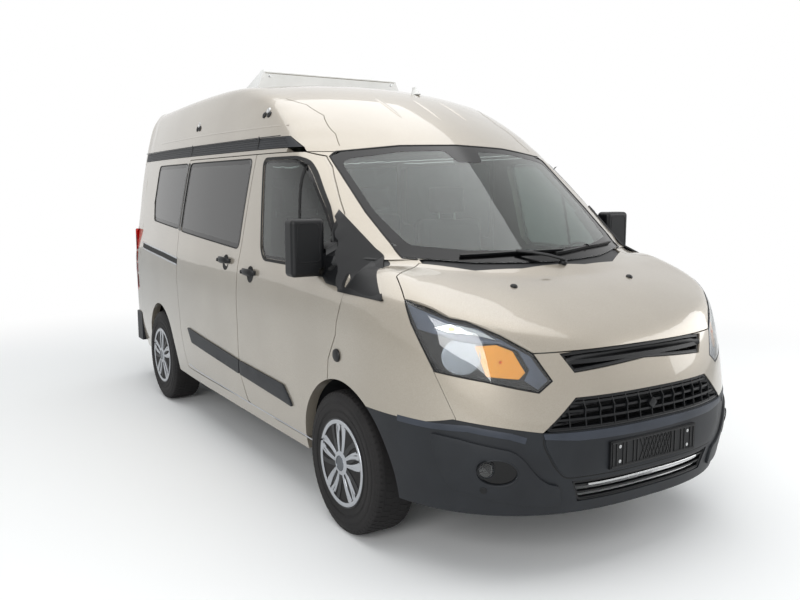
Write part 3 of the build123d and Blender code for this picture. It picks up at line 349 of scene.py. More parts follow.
# %% Dropping outlines onto the panels
BACKWARD, LEFTWARD, UPWARD = Vector((0, 1, 0)), Vector((1, 0, 0)), Vector((0, 0, 1))
VIEWS = {
    "right": (BACKWARD, UPWARD, LEFTWARD),
    "left": (BACKWARD, UPWARD, -LEFTWARD),
    "front": (LEFTWARD, UPWARD, BACKWARD),
    "rear": (LEFTWARD, UPWARD, -BACKWARD),
    "top": (LEFTWARD, BACKWARD, -UPWARD),
    "corner_right": ((LEFTWARD - BACKWARD).normalized(), UPWARD, (LEFTWARD + BACKWARD).normalized()),
    "corner_left": ((-LEFTWARD - BACKWARD).normalized(), UPWARD, (BACKWARD - LEFTWARD).normalized()),
}


def tree_of(*names):
    """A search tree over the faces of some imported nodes."""
    corners, faces = [], []
    for name in names:
        start = len(corners)
        corners += [v.co.copy() for v in nodes[name].data.vertices]
        faces += [[start + i for i in p.vertices] for p in nodes[name].data.polygons]
    return BVHTree.FromPolygons(corners, faces)


def drop(tree, view, a, b, lift=0.0):
    """The point of a surface under (a, b), raised by lift millimetres, and the surface's outward direction."""
    across, upward, inward = VIEWS[view]
    start = across * (a * MM) + upward * (b * MM) - inward * 4.0
    spot, normal, _, _ = tree.ray_cast(start, inward)
    if spot is None:
        near, normal, _, _ = tree.find_nearest(start + inward * 3.0)
        spot = start + inward * (near - start).dot(inward)
        normal = -inward
    if normal.dot(inward) > 0:
        normal = -normal
    return spot + normal * (lift * MM), normal


FELL_THROUGH = 0.12


def laid(tree, view, line, lift=0.0):
    """Drops a line. A point that fell through a gap between panels is pulled back to its neighbour's depth."""
    inward = VIEWS[view][2]
    path = [drop(tree, view, a, b, lift) for a, b in line]
    depth = [spot.dot(inward) for spot, _ in path]
    first = depth.index(min(depth))
    for order in (range(first + 1, len(path)), range(first - 1, -1, -1)):
        last = first
        for k in order:
            if depth[k] > depth[last] + FELL_THROUGH:
                path[k] = (path[k][0] + inward * (depth[last] - depth[k]), path[last][1])
                depth[k] = depth[last]
            last = k
    return path


skin = tree_of(*[n for n in finishes["champagne"][1]], "front_bumper", "rear_bumper", "roof_side_strips")
glazing = tree_of("windscreen", "side_glass", "front_door_glass_left", "front_door_glass_right",
                  "rear_door_glass_left", "rear_door_glass_right")
print("search trees ready")


# %% [markdown]
# A patch is a thin plate cut to an outline and laid on a surface. Its flat outline is filled with triangles,
# with extra points inside so that it can bend, then every point is dropped onto the surface twice: once for
# the plate's top, once for its underside. Holes are outlines too.


# %% Patches
def finer(outline, step, closed=True):
    """An outline with points added so that no side is longer than step millimetres."""
    made = []
    last = len(outline) if closed else len(outline) - 1
    for i in range(last):
        (ax, ay), (bx, by) = outline[i], outline[(i + 1) % len(outline)]
        parts = max(1, math.ceil(math.hypot(bx - ax, by - ay) / step))
        made += [(ax + (bx - ax) * k / parts, ay + (by - ay) * k / parts) for k in range(parts)]
    return made if closed else made + [outline[-1]]


def inside(x, y, rings):
    """Whether a point is inside an outline and outside its holes: an odd number of borders lies beside it."""
    odd = False
    for ring in rings:
        for (ax, ay), (bx, by) in zip(ring, ring[1:] + ring[:1]):
            if (ay > y) != (by > y) and x < ax + (bx - ax) * (y - ay) / (by - ay):
                odd = not odd
    return odd


def rounded(outline, radius, parts=4):
    """An outline whose corners are replaced by short curves."""
    made = []
    count = len(outline)
    for i in range(count):
        corner = Vector(outline[i])
        before, after = Vector(outline[i - 1]) - corner, Vector(outline[(i + 1) % count]) - corner
        reach = min(radius, before.length * 0.45, after.length * 0.45)
        a, b = corner + before.normalized() * reach, corner + after.normalized() * reach
        for k in range(parts + 1):
            t = k / parts
            made.append(tuple(a * (1 - t) ** 2 + corner * (2 * t * (1 - t)) + b * t ** 2))
    return made


def oval(a, b, half_a, half_b, count=28):
    return [(a + half_a * math.cos(math.tau * k / count), b + half_b * math.sin(math.tau * k / count))
            for k in range(count)]


def moved_in(outline, amount):
    """An outline shifted inwards by amount millimetres, or outwards where amount is below zero."""
    count = len(outline)
    area = sum(outline[i - 1][0] * outline[i][1] - outline[i][0] * outline[i - 1][1] for i in range(count))
    turn = 1 if area > 0 else -1
    made = []
    for i in range(count):
        here = Vector(outline[i])
        one, two = (here - Vector(outline[i - 1])).normalized(), (Vector(outline[(i + 1) % count]) - here).normalized()
        first, second = Vector((-one.y, one.x)) * turn, Vector((-two.y, two.x)) * turn
        middle = (first + second).normalized()
        made.append(tuple(here + middle * (amount / max(0.4, middle.dot(first)))))
    return made


def patch(name, view, outline, tree, material, body, high=1.5, low=-1.0, holes=(), step=26.0, bevel=0.0,
          segments=2):
    rings = [finer(ring, step) for ring in (list(outline), *[list(h) for h in holes])]
    points = [Vector(p) for ring in rings for p in ring]
    edges, start = [], 0
    for ring in rings:
        edges += [(start + i, start + (i + 1) % len(ring)) for i in range(len(ring))]
        start += len(ring)
    border = points[:]
    xs, ys = [p.x for p in border], [p.y for p in border]
    for i in range(int((max(xs) - min(xs)) / step) + 1):
        for j in range(int((max(ys) - min(ys)) / step) + 1):
            x, y = min(xs) + (i + 0.5) * step, min(ys) + (j + 0.5) * step
            if inside(x, y, rings) and min((p.x - x) ** 2 + (p.y - y) ** 2 for p in border) > (0.5 * step) ** 2:
                points.append(Vector((x, y)))
    flat, _, triangles, _, _, _ = delaunay_2d_cdt(points, edges, [], 0, 1e-3)
    kept = [t for t in triangles if inside(sum(flat[i].x for i in t) / 3, sum(flat[i].y for i in t) / 3, rings)]
    top, under = [], []
    inward = VIEWS[view][2]
    dropped = [drop(tree, view, p.x, p.y) for p in flat]
    first = min(range(len(flat)), key=lambda k: dropped[k][0].dot(inward))
    for p, (spot, normal) in zip(flat, dropped):
        deeper = (spot - dropped[first][0]).dot(inward)
        if deeper > FELL_THROUGH + 1.5 * (p - flat[first]).length * MM:
            spot, normal = spot - inward * deeper, dropped[first][1]
        top.append(spot + normal * (high * MM))
        under.append(spot + normal * (low * MM))
    count = len(flat)
    sides = {}
    for t in kept:
        for a, b in ((t[0], t[1]), (t[1], t[2]), (t[2], t[0])):
            sides[(a, b)] = True
    walls = [(a, b, b + count, a + count) for a, b in sides if (b, a) not in sides]
    faces = [tuple(t) for t in kept] + [tuple(i + count for i in reversed(t)) for t in kept] + walls
    work = bmesh.new()
    for corner in top + under:
        work.verts.new(corner)
    work.verts.ensure_lookup_table()
    for face in faces:
        work.faces.new([work.verts[i] for i in face])
    loose = [v for v in work.verts if not v.link_faces]
    bmesh.ops.delete(work, geom=loose, context="VERTS")
    work.verts.index_update()
    corners = [v.co.copy() for v in work.verts]
    used = [tuple(v.index for v in f.verts) for f in work.faces]
    work.free()
    return piece(name, corners, used, material, body, bevel=bevel, segments=segments)


# %% [markdown]
# Seals, ribs, grooves and bright lines are long and thin. They are made by sliding a small section along a
# line on the panel, standing square to the surface all the way. A tube does the same with a round section
# through free space, and a turned piece spins a profile about an axis, as on a lathe.


# %% Strips, tubes and turned pieces
def sweep(name, spots, normals, section, material, body, closed=False, angle=50.0):
    """Slides a section, given as (across, up) in millimetres, along spots."""
    corners, faces, size, count = [], [], len(section), len(spots)
    for i in range(count):
        ahead = spots[(i + 1) % count] if closed or i < count - 1 else spots[i]
        behind = spots[i - 1] if closed or i > 0 else spots[i]
        along = (ahead - behind).normalized()
        sideways = along.cross(normals[i]).normalized()
        corners += [spots[i] + sideways * (a * MM) + normals[i] * (b * MM) for a, b in section]
    for i in range(count if closed else count - 1):
        j = (i + 1) % count
        faces += [(i * size + k, i * size + (k + 1) % size, j * size + (k + 1) % size, j * size + k)
                  for k in range(size)]
    if not closed:
        faces += [tuple(range(size)), tuple((count - 1) * size + k for k in reversed(range(size)))]
    return piece(name, corners, faces, material, body, angle=angle)


def low_section(width, height, sink=1.5):
    half = width / 2
    return [(-half, -sink), (-half, height * 0.4), (-half * 0.6, height * 0.9), (0, height),
            (half * 0.6, height * 0.9), (half, height * 0.4), (half, -sink)]


def strip(name, view, line, tree, width, height, material, body, closed=False, step=22.0, sink=1.5):
    dropped = laid(tree, view, finer(list(line), step, closed))
    return sweep(name, [d[0] for d in dropped], [d[1] for d in dropped], low_section(width, height, sink),
                 material, body, closed)


def tube(name, points, radius, material, body, sides=12, closed=False):
    """A round bar through points in metres."""
    spots = [Vector(p) for p in points]
    normals = []
    for i, spot in enumerate(spots):
        along = spots[min(i + 1, len(spots) - 1)] - spots[max(i - 1, 0)]
        helper = UPWARD if abs(along.normalized().z) < 0.9 else BACKWARD
        normals.append(along.cross(helper).cross(along).normalized())
    section = [(radius * math.cos(math.tau * k / sides), radius * math.sin(math.tau * k / sides))
               for k in range(sides)]
    return sweep(name, spots, normals, section, material, body, closed)


def turned(name, profile, at, axis, material, body, sides=32):
    """Spins a profile of (radius, height) in millimetres about an axis through at."""
    axis = axis.normalized()
    helper = UPWARD if abs(axis.z) < 0.9 else BACKWARD
    one = axis.cross(helper).normalized()
    two = axis.cross(one)
    corners, faces = [], []
    for radius, height in profile:
        corners += [at + axis * (height * MM) + (one * math.cos(math.tau * k / sides)
                                                 + two * math.sin(math.tau * k / sides)) * (max(radius, 0.05) * MM)
                    for k in range(sides)]
    for i in range(len(profile) - 1):
        faces += [(i * sides + k, i * sides + (k + 1) % sides, (i + 1) * sides + (k + 1) % sides,
                   (i + 1) * sides + k) for k in range(sides)]
    faces += [tuple(range(sides)), tuple((len(profile) - 1) * sides + k for k in reversed(range(sides)))]
    return piece(name, corners, faces, material, body)


def loft(name, rings, material, body, angle=40.0, bevel=0.0):
    """Joins closed rings of equally many points, in metres, and closes both ends."""
    size = len(rings[0])
    corners = [c for ring in rings for c in ring]
    faces = [(i * size + k, i * size + (k + 1) % size, (i + 1) * size + (k + 1) % size, (i + 1) * size + k)
             for i in range(len(rings) - 1) for k in range(size)]
    faces += [tuple(range(size)), tuple((len(rings) - 1) * size + k for k in reversed(range(size)))]
    return piece(name, corners, faces, material, body, angle=angle, bevel=bevel)


# %% [markdown]
# The side glass of a van is bonded or framed in black. The rear windows have a black baked-on border round
# the glass, and the post between the sliding door's window and the next one is masked in the same black, so
# the windows read as one dark band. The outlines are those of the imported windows.

# %% Window surrounds
SLIDING_WINDOW = [(-296, 1778), (-222, 1264), (905, 1318), (822, 1778)]
REAR_WINDOW = [(884, 1778), (972, 1330), (1700, 1364), (1742, 1500), (1690, 1778)]
DOOR_WINDOW = [(-560, 1290), (-610, 1240), (-1340, 1240), (-1370, 1290), (-1180, 1510), (-985, 1680),
               (-900, 1742), (-820, 1764), (-470, 1764)]
for side in ("right", "left"):
    door = "front_door_" + side
    for label, window in (("sliding", SLIDING_WINDOW), ("quarter", REAR_WINDOW)):
        shape = rounded(window, 42)
        patch(f"{label}_window_border_{side}", side, moved_in(shape, 2), glazing, gloss_black, "van_body",
              high=0.5, low=-0.5, holes=[moved_in(shape, 26)], step=40)
        strip(f"{label}_window_seal_{side}", side, moved_in(shape, -2), skin, 7, 1.6, seal_rubber, "van_body",
              closed=True, step=40)
    patch(f"post_mask_front_{side}", side, [(823, 1780), (907, 1316), (939, 1318), (846, 1782)], skin,
          gloss_black, "van_body", high=0.9, step=40)
    patch(f"post_mask_rear_{side}", side, [(857, 1782), (950, 1320), (973, 1328), (885, 1780)], skin,
          gloss_black, "van_body", high=0.9, step=40)
    shape = rounded(DOOR_WINDOW, 34)
    patch(f"door_window_frame_{side}", side, moved_in(shape, -17), skin, seal_rubber, door, high=1.8,
          holes=[moved_in(shape, -1)], step=36)
    patch(f"door_window_border_{side}", side, moved_in(shape, 2), glazing, gloss_black, door, high=0.6, low=-0.5,
          holes=[moved_in(shape, 15)], step=40)
    strip(f"quarter_light_divider_{side}", side, [(-905, 1745), (-935, 1600), (-965, 1440), (-985, 1244)],
          glazing, 22, 4, seal_rubber, door)
    patch(f"mirror_base_{side}", side, [(-1258, 1486), (-1490, 1212), (-1513, 1164), (-1345, 1172),
                                        (-1225, 1225), (-1195, 1262), (-1208, 1330), (-1262, 1388)],
          skin, trim_plastic, door, high=5, low=-14, step=30, bevel=3)
print("window surrounds done")

# %% [markdown]
# The windscreen is bonded to the body behind a black enamel border, which is wide at the bottom where it
# hides the wiper park area, with a wider field at the top middle for the mirror and the rain sensor.

# %% Windscreen border and sensor
SCREEN = [(-700, 1300), (-400, 1273), (0, 1264), (400, 1273), (700, 1300), (727, 1500), (727, 1775),
          (690, 1800), (350, 1836), (0, 1846), (-350, 1836), (-690, 1800), (-727, 1775), (-727, 1500)]
clear_view = [(-640, 1352), (-400, 1326), (0, 1316), (400, 1326), (640, 1352), (690, 1500), (692, 1742),
              (650, 1766), (350, 1806), (110, 1815), (85, 1752), (-85, 1752), (-110, 1815), (-350, 1806),
              (-650, 1766), (-692, 1742), (-690, 1500)]
patch("windscreen_border", "front", moved_in(SCREEN, 3), glazing, gloss_black, "van_body", high=0.6, low=-0.5,
      holes=[rounded(clear_view, 24)], step=34)
at, out = drop(glazing, "front", 0, 1775)
loft("rain_sensor", [[at - out * d + LEFTWARD * (x * s * MM) + UPWARD.cross(LEFTWARD).cross(out) * (z * s * MM)
                      for x, z in rounded([(-55, -45), (55, -45), (55, 45), (-55, 45)], 18)]
                     for d, s in ((0.007, 1.0), (0.030, 0.95), (0.045, 0.7))], trim_plastic, "van_body")
strip("windscreen_seal", "front", moved_in(SCREEN, -3), skin, 9, 1.5, seal_rubber, "van_body", closed=True, step=30)
print("windscreen done")

# %% [markdown]
# Each wiper is a tapered steel arm over a rubber blade with a low spoiler, parked along the foot of the
# screen. The arm rises from its pivot in the scuttle, and meets the blade at its middle.

# %% Wipers and washer nozzles
for label, pivot, middle, left_end, right_end in (
        ("driver", (640, 1262), (330, 1312), (55, 1293), (610, 1318)),
        ("passenger", (60, 1250), (-170, 1306), (-455, 1298), (120, 1306))):
    line = finer([left_end, middle, right_end], 30, closed=False)
    dropped = [drop(glazing, "front", a, b) for a, b in line]
    sweep(f"wiper_blade_{label}", [d[0] for d in dropped], [d[1] for d in dropped],
          [(-4, 0.5), (-6, 6), (-9, 11), (-4, 15), (3, 18), (6, 12), (4, 6), (3, 0.5)], trim_plastic, "van_body")
    foot, foot_up = drop(tree_of("cowl_panel", "windscreen"), "front", *pivot)
    mid, mid_up = drop(glazing, "front", *middle)
    path = [foot + foot_up * 0.012, foot + foot_up * 0.030, foot.lerp(mid, 0.35) + mid_up * 0.036,
            foot.lerp(mid, 0.7) + mid_up * 0.030, mid + mid_up * 0.018]
    sweep(f"wiper_arm_{label}", path, [foot_up, foot_up, mid_up, mid_up, mid_up],
          [(-9, -3), (-8, 3), (0, 5), (8, 3), (9, -3)], trim_plastic, "van_body")
    turned(f"wiper_pivot_{label}", [(19, -12), (19, 8), (15, 14), (6, 17)], foot + foot_up * 0.010, foot_up,
           trim_plastic, "van_body")
bonnet_tree = tree_of("bonnet")
for label, x in (("right", -366), ("left", 366)):
    at, out = drop(bonnet_tree, "top", x, -1985)
    turned(f"washer_nozzle_{label}", [(17, -1), (17, 3), (13, 8), (6, 11)], at, out, trim_plastic, "bonnet")
print("wipers done")

# %% [markdown]
# The flanks carry grained rubbing strips at bumper height, pull handles over round recesses, the sliding
# door's bright rail behind its window, a fuel filler cap and a round side repeater place in the wing.

# %% Flank trim
for side in ("right", "left"):
    door = "front_door_" + side
    sign = 1 if side == "left" else -1
    patch(f"rubbing_strip_rear_{side}", side, rounded([(690, 668), (606, 577), (-255, 530), (-262, 611)], 10),
          skin, bumper_plastic, "van_body", high=10, low=-1, step=40, bevel=6, segments=3)
    patch(f"rubbing_strip_door_{side}", side,
          rounded([(-275, 611), (-271, 530), (-860, 503), (-977, 496), (-955, 530), (-881, 593)], 10),
          skin, bumper_plastic, door, high=10, low=-1, step=40, bevel=6, segments=3)
    for label, body, y, z in (("sliding", "van_body", -51, 1177), ("front", door, -445, 1139)):
        at, out = drop(skin, side, y, z)
        turned(f"handle_recess_{label}_{side}", [(46, -3), (47, 1.0), (42, 1.6), (34, 0.6), (10, 0.4)],
               at - UPWARD * 0.004, out, seal_rubber, body, sides=36)
        grip = []
        for y_off, stand, tall in ((-78, 4, 12), (-66, 20, 17), (-40, 30, 19), (0, 33, 20), (40, 30, 19),
                                   (66, 20, 17), (78, 4, 12)):
            spot, normal = drop(skin, side, y + y_off, z + 8)
            centre = spot + normal * (stand * MM)
            grip.append([centre + UPWARD * (math.cos(math.tau * k / 12) * tall * MM)
                         + normal * (math.sin(math.tau * k / 12) * 8 * MM) for k in range(12)])
        loft(f"pull_handle_{label}_{side}", grip, trim_plastic, body, angle=60)
        lock, normal = drop(skin, side, y + 58, z + 4)
        turned(f"lock_face_{label}_{side}", [(11, 0), (11, 36), (8, 38)], lock, normal, trim_plastic, body)
    fender = "fenders"
    at, out = drop(skin, side, -1478, 855)
    turned(f"wing_cap_{side}", [(31, -2), (31, 5), (28, 9), (20, 11), (8, 12)], at, out, trim_plastic,
           "van_body", sides=40)
    for label, line in (("upper", [(921, 1126), (1300, 1147), (2031, 1174)]),
                        ("lower", [(921, 1080), (1300, 1099), (2020, 1127)])):
        strip(f"door_rail_{label}_{side}", side, line, skin, 11, 6, wheel_silver, "van_body", step=60)
    strip(f"door_rail_channel_{side}", side, [(921, 1103), (1300, 1123), (2025, 1150)], skin, 34, 1.2,
          seal_rubber, "van_body", step=60)
at, out = drop(skin, "left", 640, 1010)
turned("fuel_flap_groove", [(88, -1), (88, 0.7), (84, 0.8), (84, -1)], at, out, seal_rubber, "van_body", sides=48)
# A bright silver strip on a 3 mm step along each sill is a painted highlight: the sill's upper edge is body colour.
strip("sill_edge_right", "right", [(-1180, 367), (-340, 370), (610, 385), (760, 399)], skin, 7, 3,
      wheel_silver, "van_body", step=60)
strip("sill_edge_left", "left", [(-1180, 367), (-340, 370), (610, 385), (760, 399)], skin, 7, 3,
      wheel_silver, "van_body", step=60)
print("flank trim done")

# %% [markdown]
# Inside each headlamp a grey bezel carries the position light along its upper edge. Below it a black housing
# holds a chromed bowl for the main bulb and a second, amber-lined bowl for the indicator. All of it sits just
# behind the clear lens, so the outlines are dropped onto the lens and set back from it.

# %% Headlamps
REFLECTOR = oval(972, 943, 77, 68, 36)
INDICATOR = [(1030, 984), (1110, 990), (1172, 966), (1222, 886), (1200, 862), (1078, 872)]
BEZEL = [(731, 1146), (921, 1083), (988, 1072), (1124, 1019), (1245, 951), (1318, 855), (1282, 822),
         (1226, 858), (1246, 898), (1198, 972), (1120, 1002), (1022, 1000), (959, 1007), (887, 1026), (786, 1046)]
HOUSING = [(734, 1140), (921, 1080), (988, 1068), (1124, 1015), (1243, 948), (1316, 853), (1280, 820),
           (1072, 862), (872, 890), (768, 1060)]
POSITION = [(858, 1058), (919, 1073), (953, 1073), (986, 1067), (1037, 1056), (1113, 1016), (1023, 1036),
            (964, 1041), (914, 1042)]
lens_tree = tree_of("headlamp_lenses")
for side in ("right", "left"):
    view = "corner_" + side
    across, upward, inward = VIEWS[view]
    patch(f"lamp_bezel_{side}", view, BEZEL, lens_tree, lamp_grey, "van_body", high=-8, low=-11, step=22, bevel=1,
          holes=[moved_in(POSITION, -3)])
    patch(f"lamp_housing_{side}", view, HOUSING, lens_tree, gloss_black, "van_body", high=-17, low=-19,
          holes=[REFLECTOR, INDICATOR], step=22)
    patch(f"position_light_{side}", view, POSITION, lens_tree, mirror_silver, "van_body", high=-12, low=-15, step=14)
    patch(f"position_bulb_{side}", view, oval(930, 1055, 16, 10, 16), lens_tree, amber_dish, "van_body",
          high=-9, low=-12, step=12)
    for label, outline, centre, depth, material in (
            ("main", REFLECTOR, (972, 943), 62, chrome), ("indicator", INDICATOR, (1128, 925), 42, amber_dish)):
        rings = []
        ring = finer(outline, 12)
        for t, back in ((1.04, 16), (1.0, 17), (0.93, 17 + depth * 0.35), (0.78, 17 + depth * 0.7),
                        (0.5, 17 + depth * 0.94), (0.2, 17 + depth)):
            row = []
            for k, (a, b) in enumerate(ring):
                facet = 1.0 + 0.035 * (k % 2) * (1 if 0.3 < t < 1 else 0)
                spot, _ = drop(lens_tree, view, centre[0] + (a - centre[0]) * t * facet,
                               centre[1] + (b - centre[1]) * t * facet)
                row.append(spot + inward * (back * MM))
            rings.append(row)
        outer = [[c + inward * 0.0015 for c in row] for row in reversed(rings)]
        loft(f"{label}_reflector_{side}", rings + outer, material, "van_body", angle=12)
        spot, _ = drop(lens_tree, view, *centre)
        turned(f"{label}_bulb_{side}", [(13, -2), (13, 10), (8, 14), (8, 34), (5, 40)],
               spot + inward * ((17 + depth - 2) * MM), -inward, satin_steel if label == "main" else amber_lens,
               "van_body", sides=20)
    for k, z in enumerate((968, 930, 898)):
        spots = [drop(lens_tree, view, a, z)[0] + inward * 0.034 for a in (1062 + 6 * k, 1110, 1150 + 12 * k)]
        tube(f"indicator_bar_{side}_{k}", spots, 5.0, chrome, "van_body", sides=8)
    strip(f"lamp_seal_{side}", view, moved_in([(718, 1162), (921, 1096), (988, 1086), (1124, 1033), (1254, 963),
          (1336, 851), (1285, 807), (1072, 851), (865, 880), (757, 1065)], 3), lens_tree, 6, 0.8, seal_rubber,
          "van_body", closed=True, step=20)
print("headlamps done")
# %% [markdown]
# Three openings cool the engine. The upper slot holds one round bar, the main grille three blades with fine
# uprights between them, the lower intake a bright strip. The bumper's middle is a raised panel, with a blank
# number plate carrier on it, and a sculpted panel at each end carries the fog lamp in an oval scoop.

# %% Grilles and front bumper
front = tree_of("front_bumper", "nose_panel", "grilles")
bumper_tree = tree_of("front_bumper")
slot_line = [(-418, 921), (-300, 928), (0, 932), (300, 928), (418, 921)]
spots = [spot for spot, _ in laid(front, "front", finer(slot_line, 30, closed=False), lift=-17)]
tube("upper_grille_bar", spots, 19, trim_plastic, "van_body", sides=20)
strip("upper_grille_lip", "front", [(-384, 879), (-200, 892), (0, 903), (200, 892), (384, 879)], front, 9, 3,
      trim_plastic, "van_body")
for k, z in enumerate((678, 712, 746)):
    reach = 548 - (z - 651) * 148 / 131 - 16
    path = laid(front, "front", finer([(-reach, z), (reach, z)], 40, closed=False))
    sweep(f"main_grille_blade_{k}", [spot for spot, _ in path], [out for _, out in path], [(-7, -14), (-8, 1), (-3, 5), (4, 4), (8, -1), (7, -14)],
          trim_plastic, "van_body", angle=30)
for k in range(13):
    x = -432 + 72 * k
    top = min(778, 651 + (548 - abs(x)) * 131 / 148 - 8)
    strip(f"main_grille_upright_{k}", "front", [(x, 657), (x, top)], front, 5, 1.0, trim_plastic, "van_body",
          sink=10)
patch("grille_centre_mount", "front", rounded([(0, 742), (26, 716), (0, 690), (-26, 716)], 6), front,
      trim_plastic, "van_body", high=7, low=-6, bevel=2)
strip("main_grille_frame", "front", rounded([(-545, 653), (545, 653), (400, 780), (-400, 780)], 46), front, 11, 4,
      trim_plastic, "van_body", closed=True)
strip("intake_frame", "front", rounded([(-418, 438), (418, 438), (378, 347), (-378, 347)], 30), front, 10, 4,
      trim_plastic, "van_body", closed=True)
strip("intake_bright_strip", "front", [(-336, 414), (0, 416), (336, 414)], front, 12, 5, satin_steel, "van_body",
      step=30)
PLATE_PANEL = [(-536, 640), (-540, 604), (-500, 516), (-452, 462), (452, 462), (500, 516), (540, 604),
               (536, 640), (400, 636), (0, 634), (-400, 636)]
strip("plate_panel_groove", "front", moved_in(rounded(PLATE_PANEL, 26), -7), bumper_tree, 5, 0.8, seal_rubber,
      "van_body", closed=True, step=30)
patch("plate_panel", "front", rounded(PLATE_PANEL, 26), bumper_tree, bumper_plastic, "van_body", high=4.5,
      low=-2, step=40, bevel=4, segments=3)
# The raised chamfer band across the bumper's top is real relief, coloured in the lighter grey of painted highlight.
patch("bumper_upper_chamfer", "front", [(-546, 648), (-400, 646), (0, 646), (400, 646), (546, 648), (541, 626),
      (400, 612), (0, 606), (-400, 612), (-541, 626)], bumper_tree, bumper_sheen, "van_body", high=5.6, low=-1,
      step=40, bevel=1.2)
for side in ("right", "left"):
    view = "corner_" + side
    fog_panel = rounded([(850, 632), (961, 622), (1190, 581), (1231, 549), (1290, 470), (1331, 438), (1372, 428),
                         (1376, 340), (1268, 345), (1092, 376), (950, 406), (914, 446), (882, 529)], 24)
    scoop = oval(1130, 490, 80, 54, 32)
    patch(f"bumper_end_panel_{side}", view, fog_panel, bumper_tree, bumper_plastic, "van_body", high=11, low=-2,
          step=34, bevel=7, segments=3, holes=[scoop])
    patch(f"fog_scoop_{side}", view, moved_in(scoop, -3), bumper_tree, gloss_black, "van_body", high=1.0, low=-1,
          step=30)
    strip(f"fog_scoop_rim_{side}", view, moved_in(scoop, -2), bumper_tree, 10, 13, bumper_plastic, "van_body",
          closed=True, step=14)
    # A lighter grey strip along the top of each bumper end is a painted highlight line.
    strip(f"bumper_sheen_line_{side}", view, [(700, 664), (860, 660), (1010, 664), (1180, 640), (1240, 622)],
          bumper_tree, 26, 2.4, bumper_sheen, "van_body", step=30)
    at, out = drop(bumper_tree, view, 1082, 503)
    look_ahead = (out + -BACKWARD * 1.2).normalized()
    turned(f"fog_lamp_cup_{side}", [(37, 0), (37, 12), (32, 15), (29, 12), (24, 5), (8, 2)], at, look_ahead, chrome,
           "van_body", sides=40)
    turned(f"fog_lamp_lens_{side}", [(30, 12), (30, 14), (22, 18), (8, 20)], at, look_ahead, lamp_lens, "van_body",
           sides=40)
    turned(f"fog_lamp_ring_{side}", [(38, 10), (38, 17), (32, 18), (31, 12)], at, look_ahead, trim_plastic,
           "van_body", sides=40)
    at, out = drop(bumper_tree, view, 1076, 414)
    turned(f"parking_sensor_{side}", [(15, 8), (15, 12), (12, 13), (11, 12), (5, 12.4)], at, out, trim_plastic,
           "van_body")
    sign = -1 if side == "right" else 1
    at, out = drop(front, "front", 300 * sign, 392)
    turned(f"intake_sensor_{side}", [(17, -6), (17, 5), (13, 7), (12, 5), (5, 5)], at, -BACKWARD, trim_plastic,
           "van_body")
print("front done")

# %% [markdown]
# The number plate carrier is an empty moulding: crossed ribs and uprights inside a shallow frame, held by four
# bright screws. It stays blank. A plain recessed carrier at the back holds a blank plate.

# %% Number plate carrier
holder_low, holder_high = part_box("plate_holder")
face_y = holder_low.y
zs = (holder_low.z / MM + 8, holder_high.z / MM - 8)


def flat_bar(name, ax, az, bx, bz, width, deep, y, material, body):
    """A straight bar on an upright face at y, from one x, z to another, in millimetres."""
    a, b = Vector((ax * MM, y, az * MM)), Vector((bx * MM, y, bz * MM))
    half = width / 2
    section = [(-half, 0), (-half, deep * 0.7), (-half * 0.5, deep), (half * 0.5, deep), (half, deep * 0.7), (half, 0)]
    return sweep(name, [a, b], [-BACKWARD, -BACKWARD], section, material, body)


for k, x in enumerate((-250, -228, -190, -168, -128, -106, 106, 128, 168, 190, 228, 250)):
    flat_bar(f"carrier_upright_{k}", x, zs[0], x, zs[1], 5, 3, face_y, gloss_black, "van_body")
for k in range(8):
    x = -92 + 23 * k
    flat_bar(f"carrier_cross_up_{k}", x, zs[0], x + 46 if x + 46 < 104 else 104, zs[1], 4, 2.5, face_y, gloss_black,
             "van_body")
    flat_bar(f"carrier_cross_down_{k}", x, zs[1], x + 46 if x + 46 < 104 else 104, zs[0], 4, 2.5, face_y,
             gloss_black, "van_body")
for k, z in enumerate((zs[0], zs[1])):
    flat_bar(f"carrier_rail_{k}", -256, z, 256, z, 8, 3.5, face_y, trim_plastic, "van_body")
for k, (x, z) in enumerate(((-209, zs[0] + 20), (-209, zs[1] - 20), (209, zs[0] + 20), (209, zs[1] - 20))):
    turned(f"carrier_screw_{k}", [(7, -0.5), (7, 2), (5, 3.4), (1.5, 3.5), (1.2, 2.2)], Vector((x * MM, face_y, z * MM)),
           -BACKWARD, satin_steel, "van_body", sides=20)
print("plate carrier done")

# %% [markdown]
# A wheel cover snaps over the steel wheel. It has five pairs of curved spokes with a groove along each, wide
# at the rim, with dark gaps where the steel wheel and its bolts show. Each spoke is a grid, crowned across and
# pinched by the groove.

# %% Wheel covers
wheel_centre, wheel_face = {}, {}
for axle in ("front", "rear"):
    for side in ("right", "left"):
        low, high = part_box(f"tyre_{axle}_{side}")
        rim_low, rim_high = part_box(f"rim_{axle}_{side}")
        outward = -1 if side == "right" else 1
        wheel_centre[axle, side] = Vector((0, (low.y + high.y) / 2, (low.z + high.z) / 2))
        wheel_face[axle, side] = rim_low.x if side == "right" else rim_high.x


def on_wheel(axle, side, radius, angle, stand):
    """A point on a wheel, given by radius, angle and how far it stands out, in millimetres and radians."""
    outward = -1 if side == "right" else 1
    centre = wheel_centre[axle, side]
    return Vector((wheel_face[axle, side] + outward * stand * MM, centre.y + math.cos(angle) * radius * MM,
                   centre.z + math.sin(angle) * radius * MM))


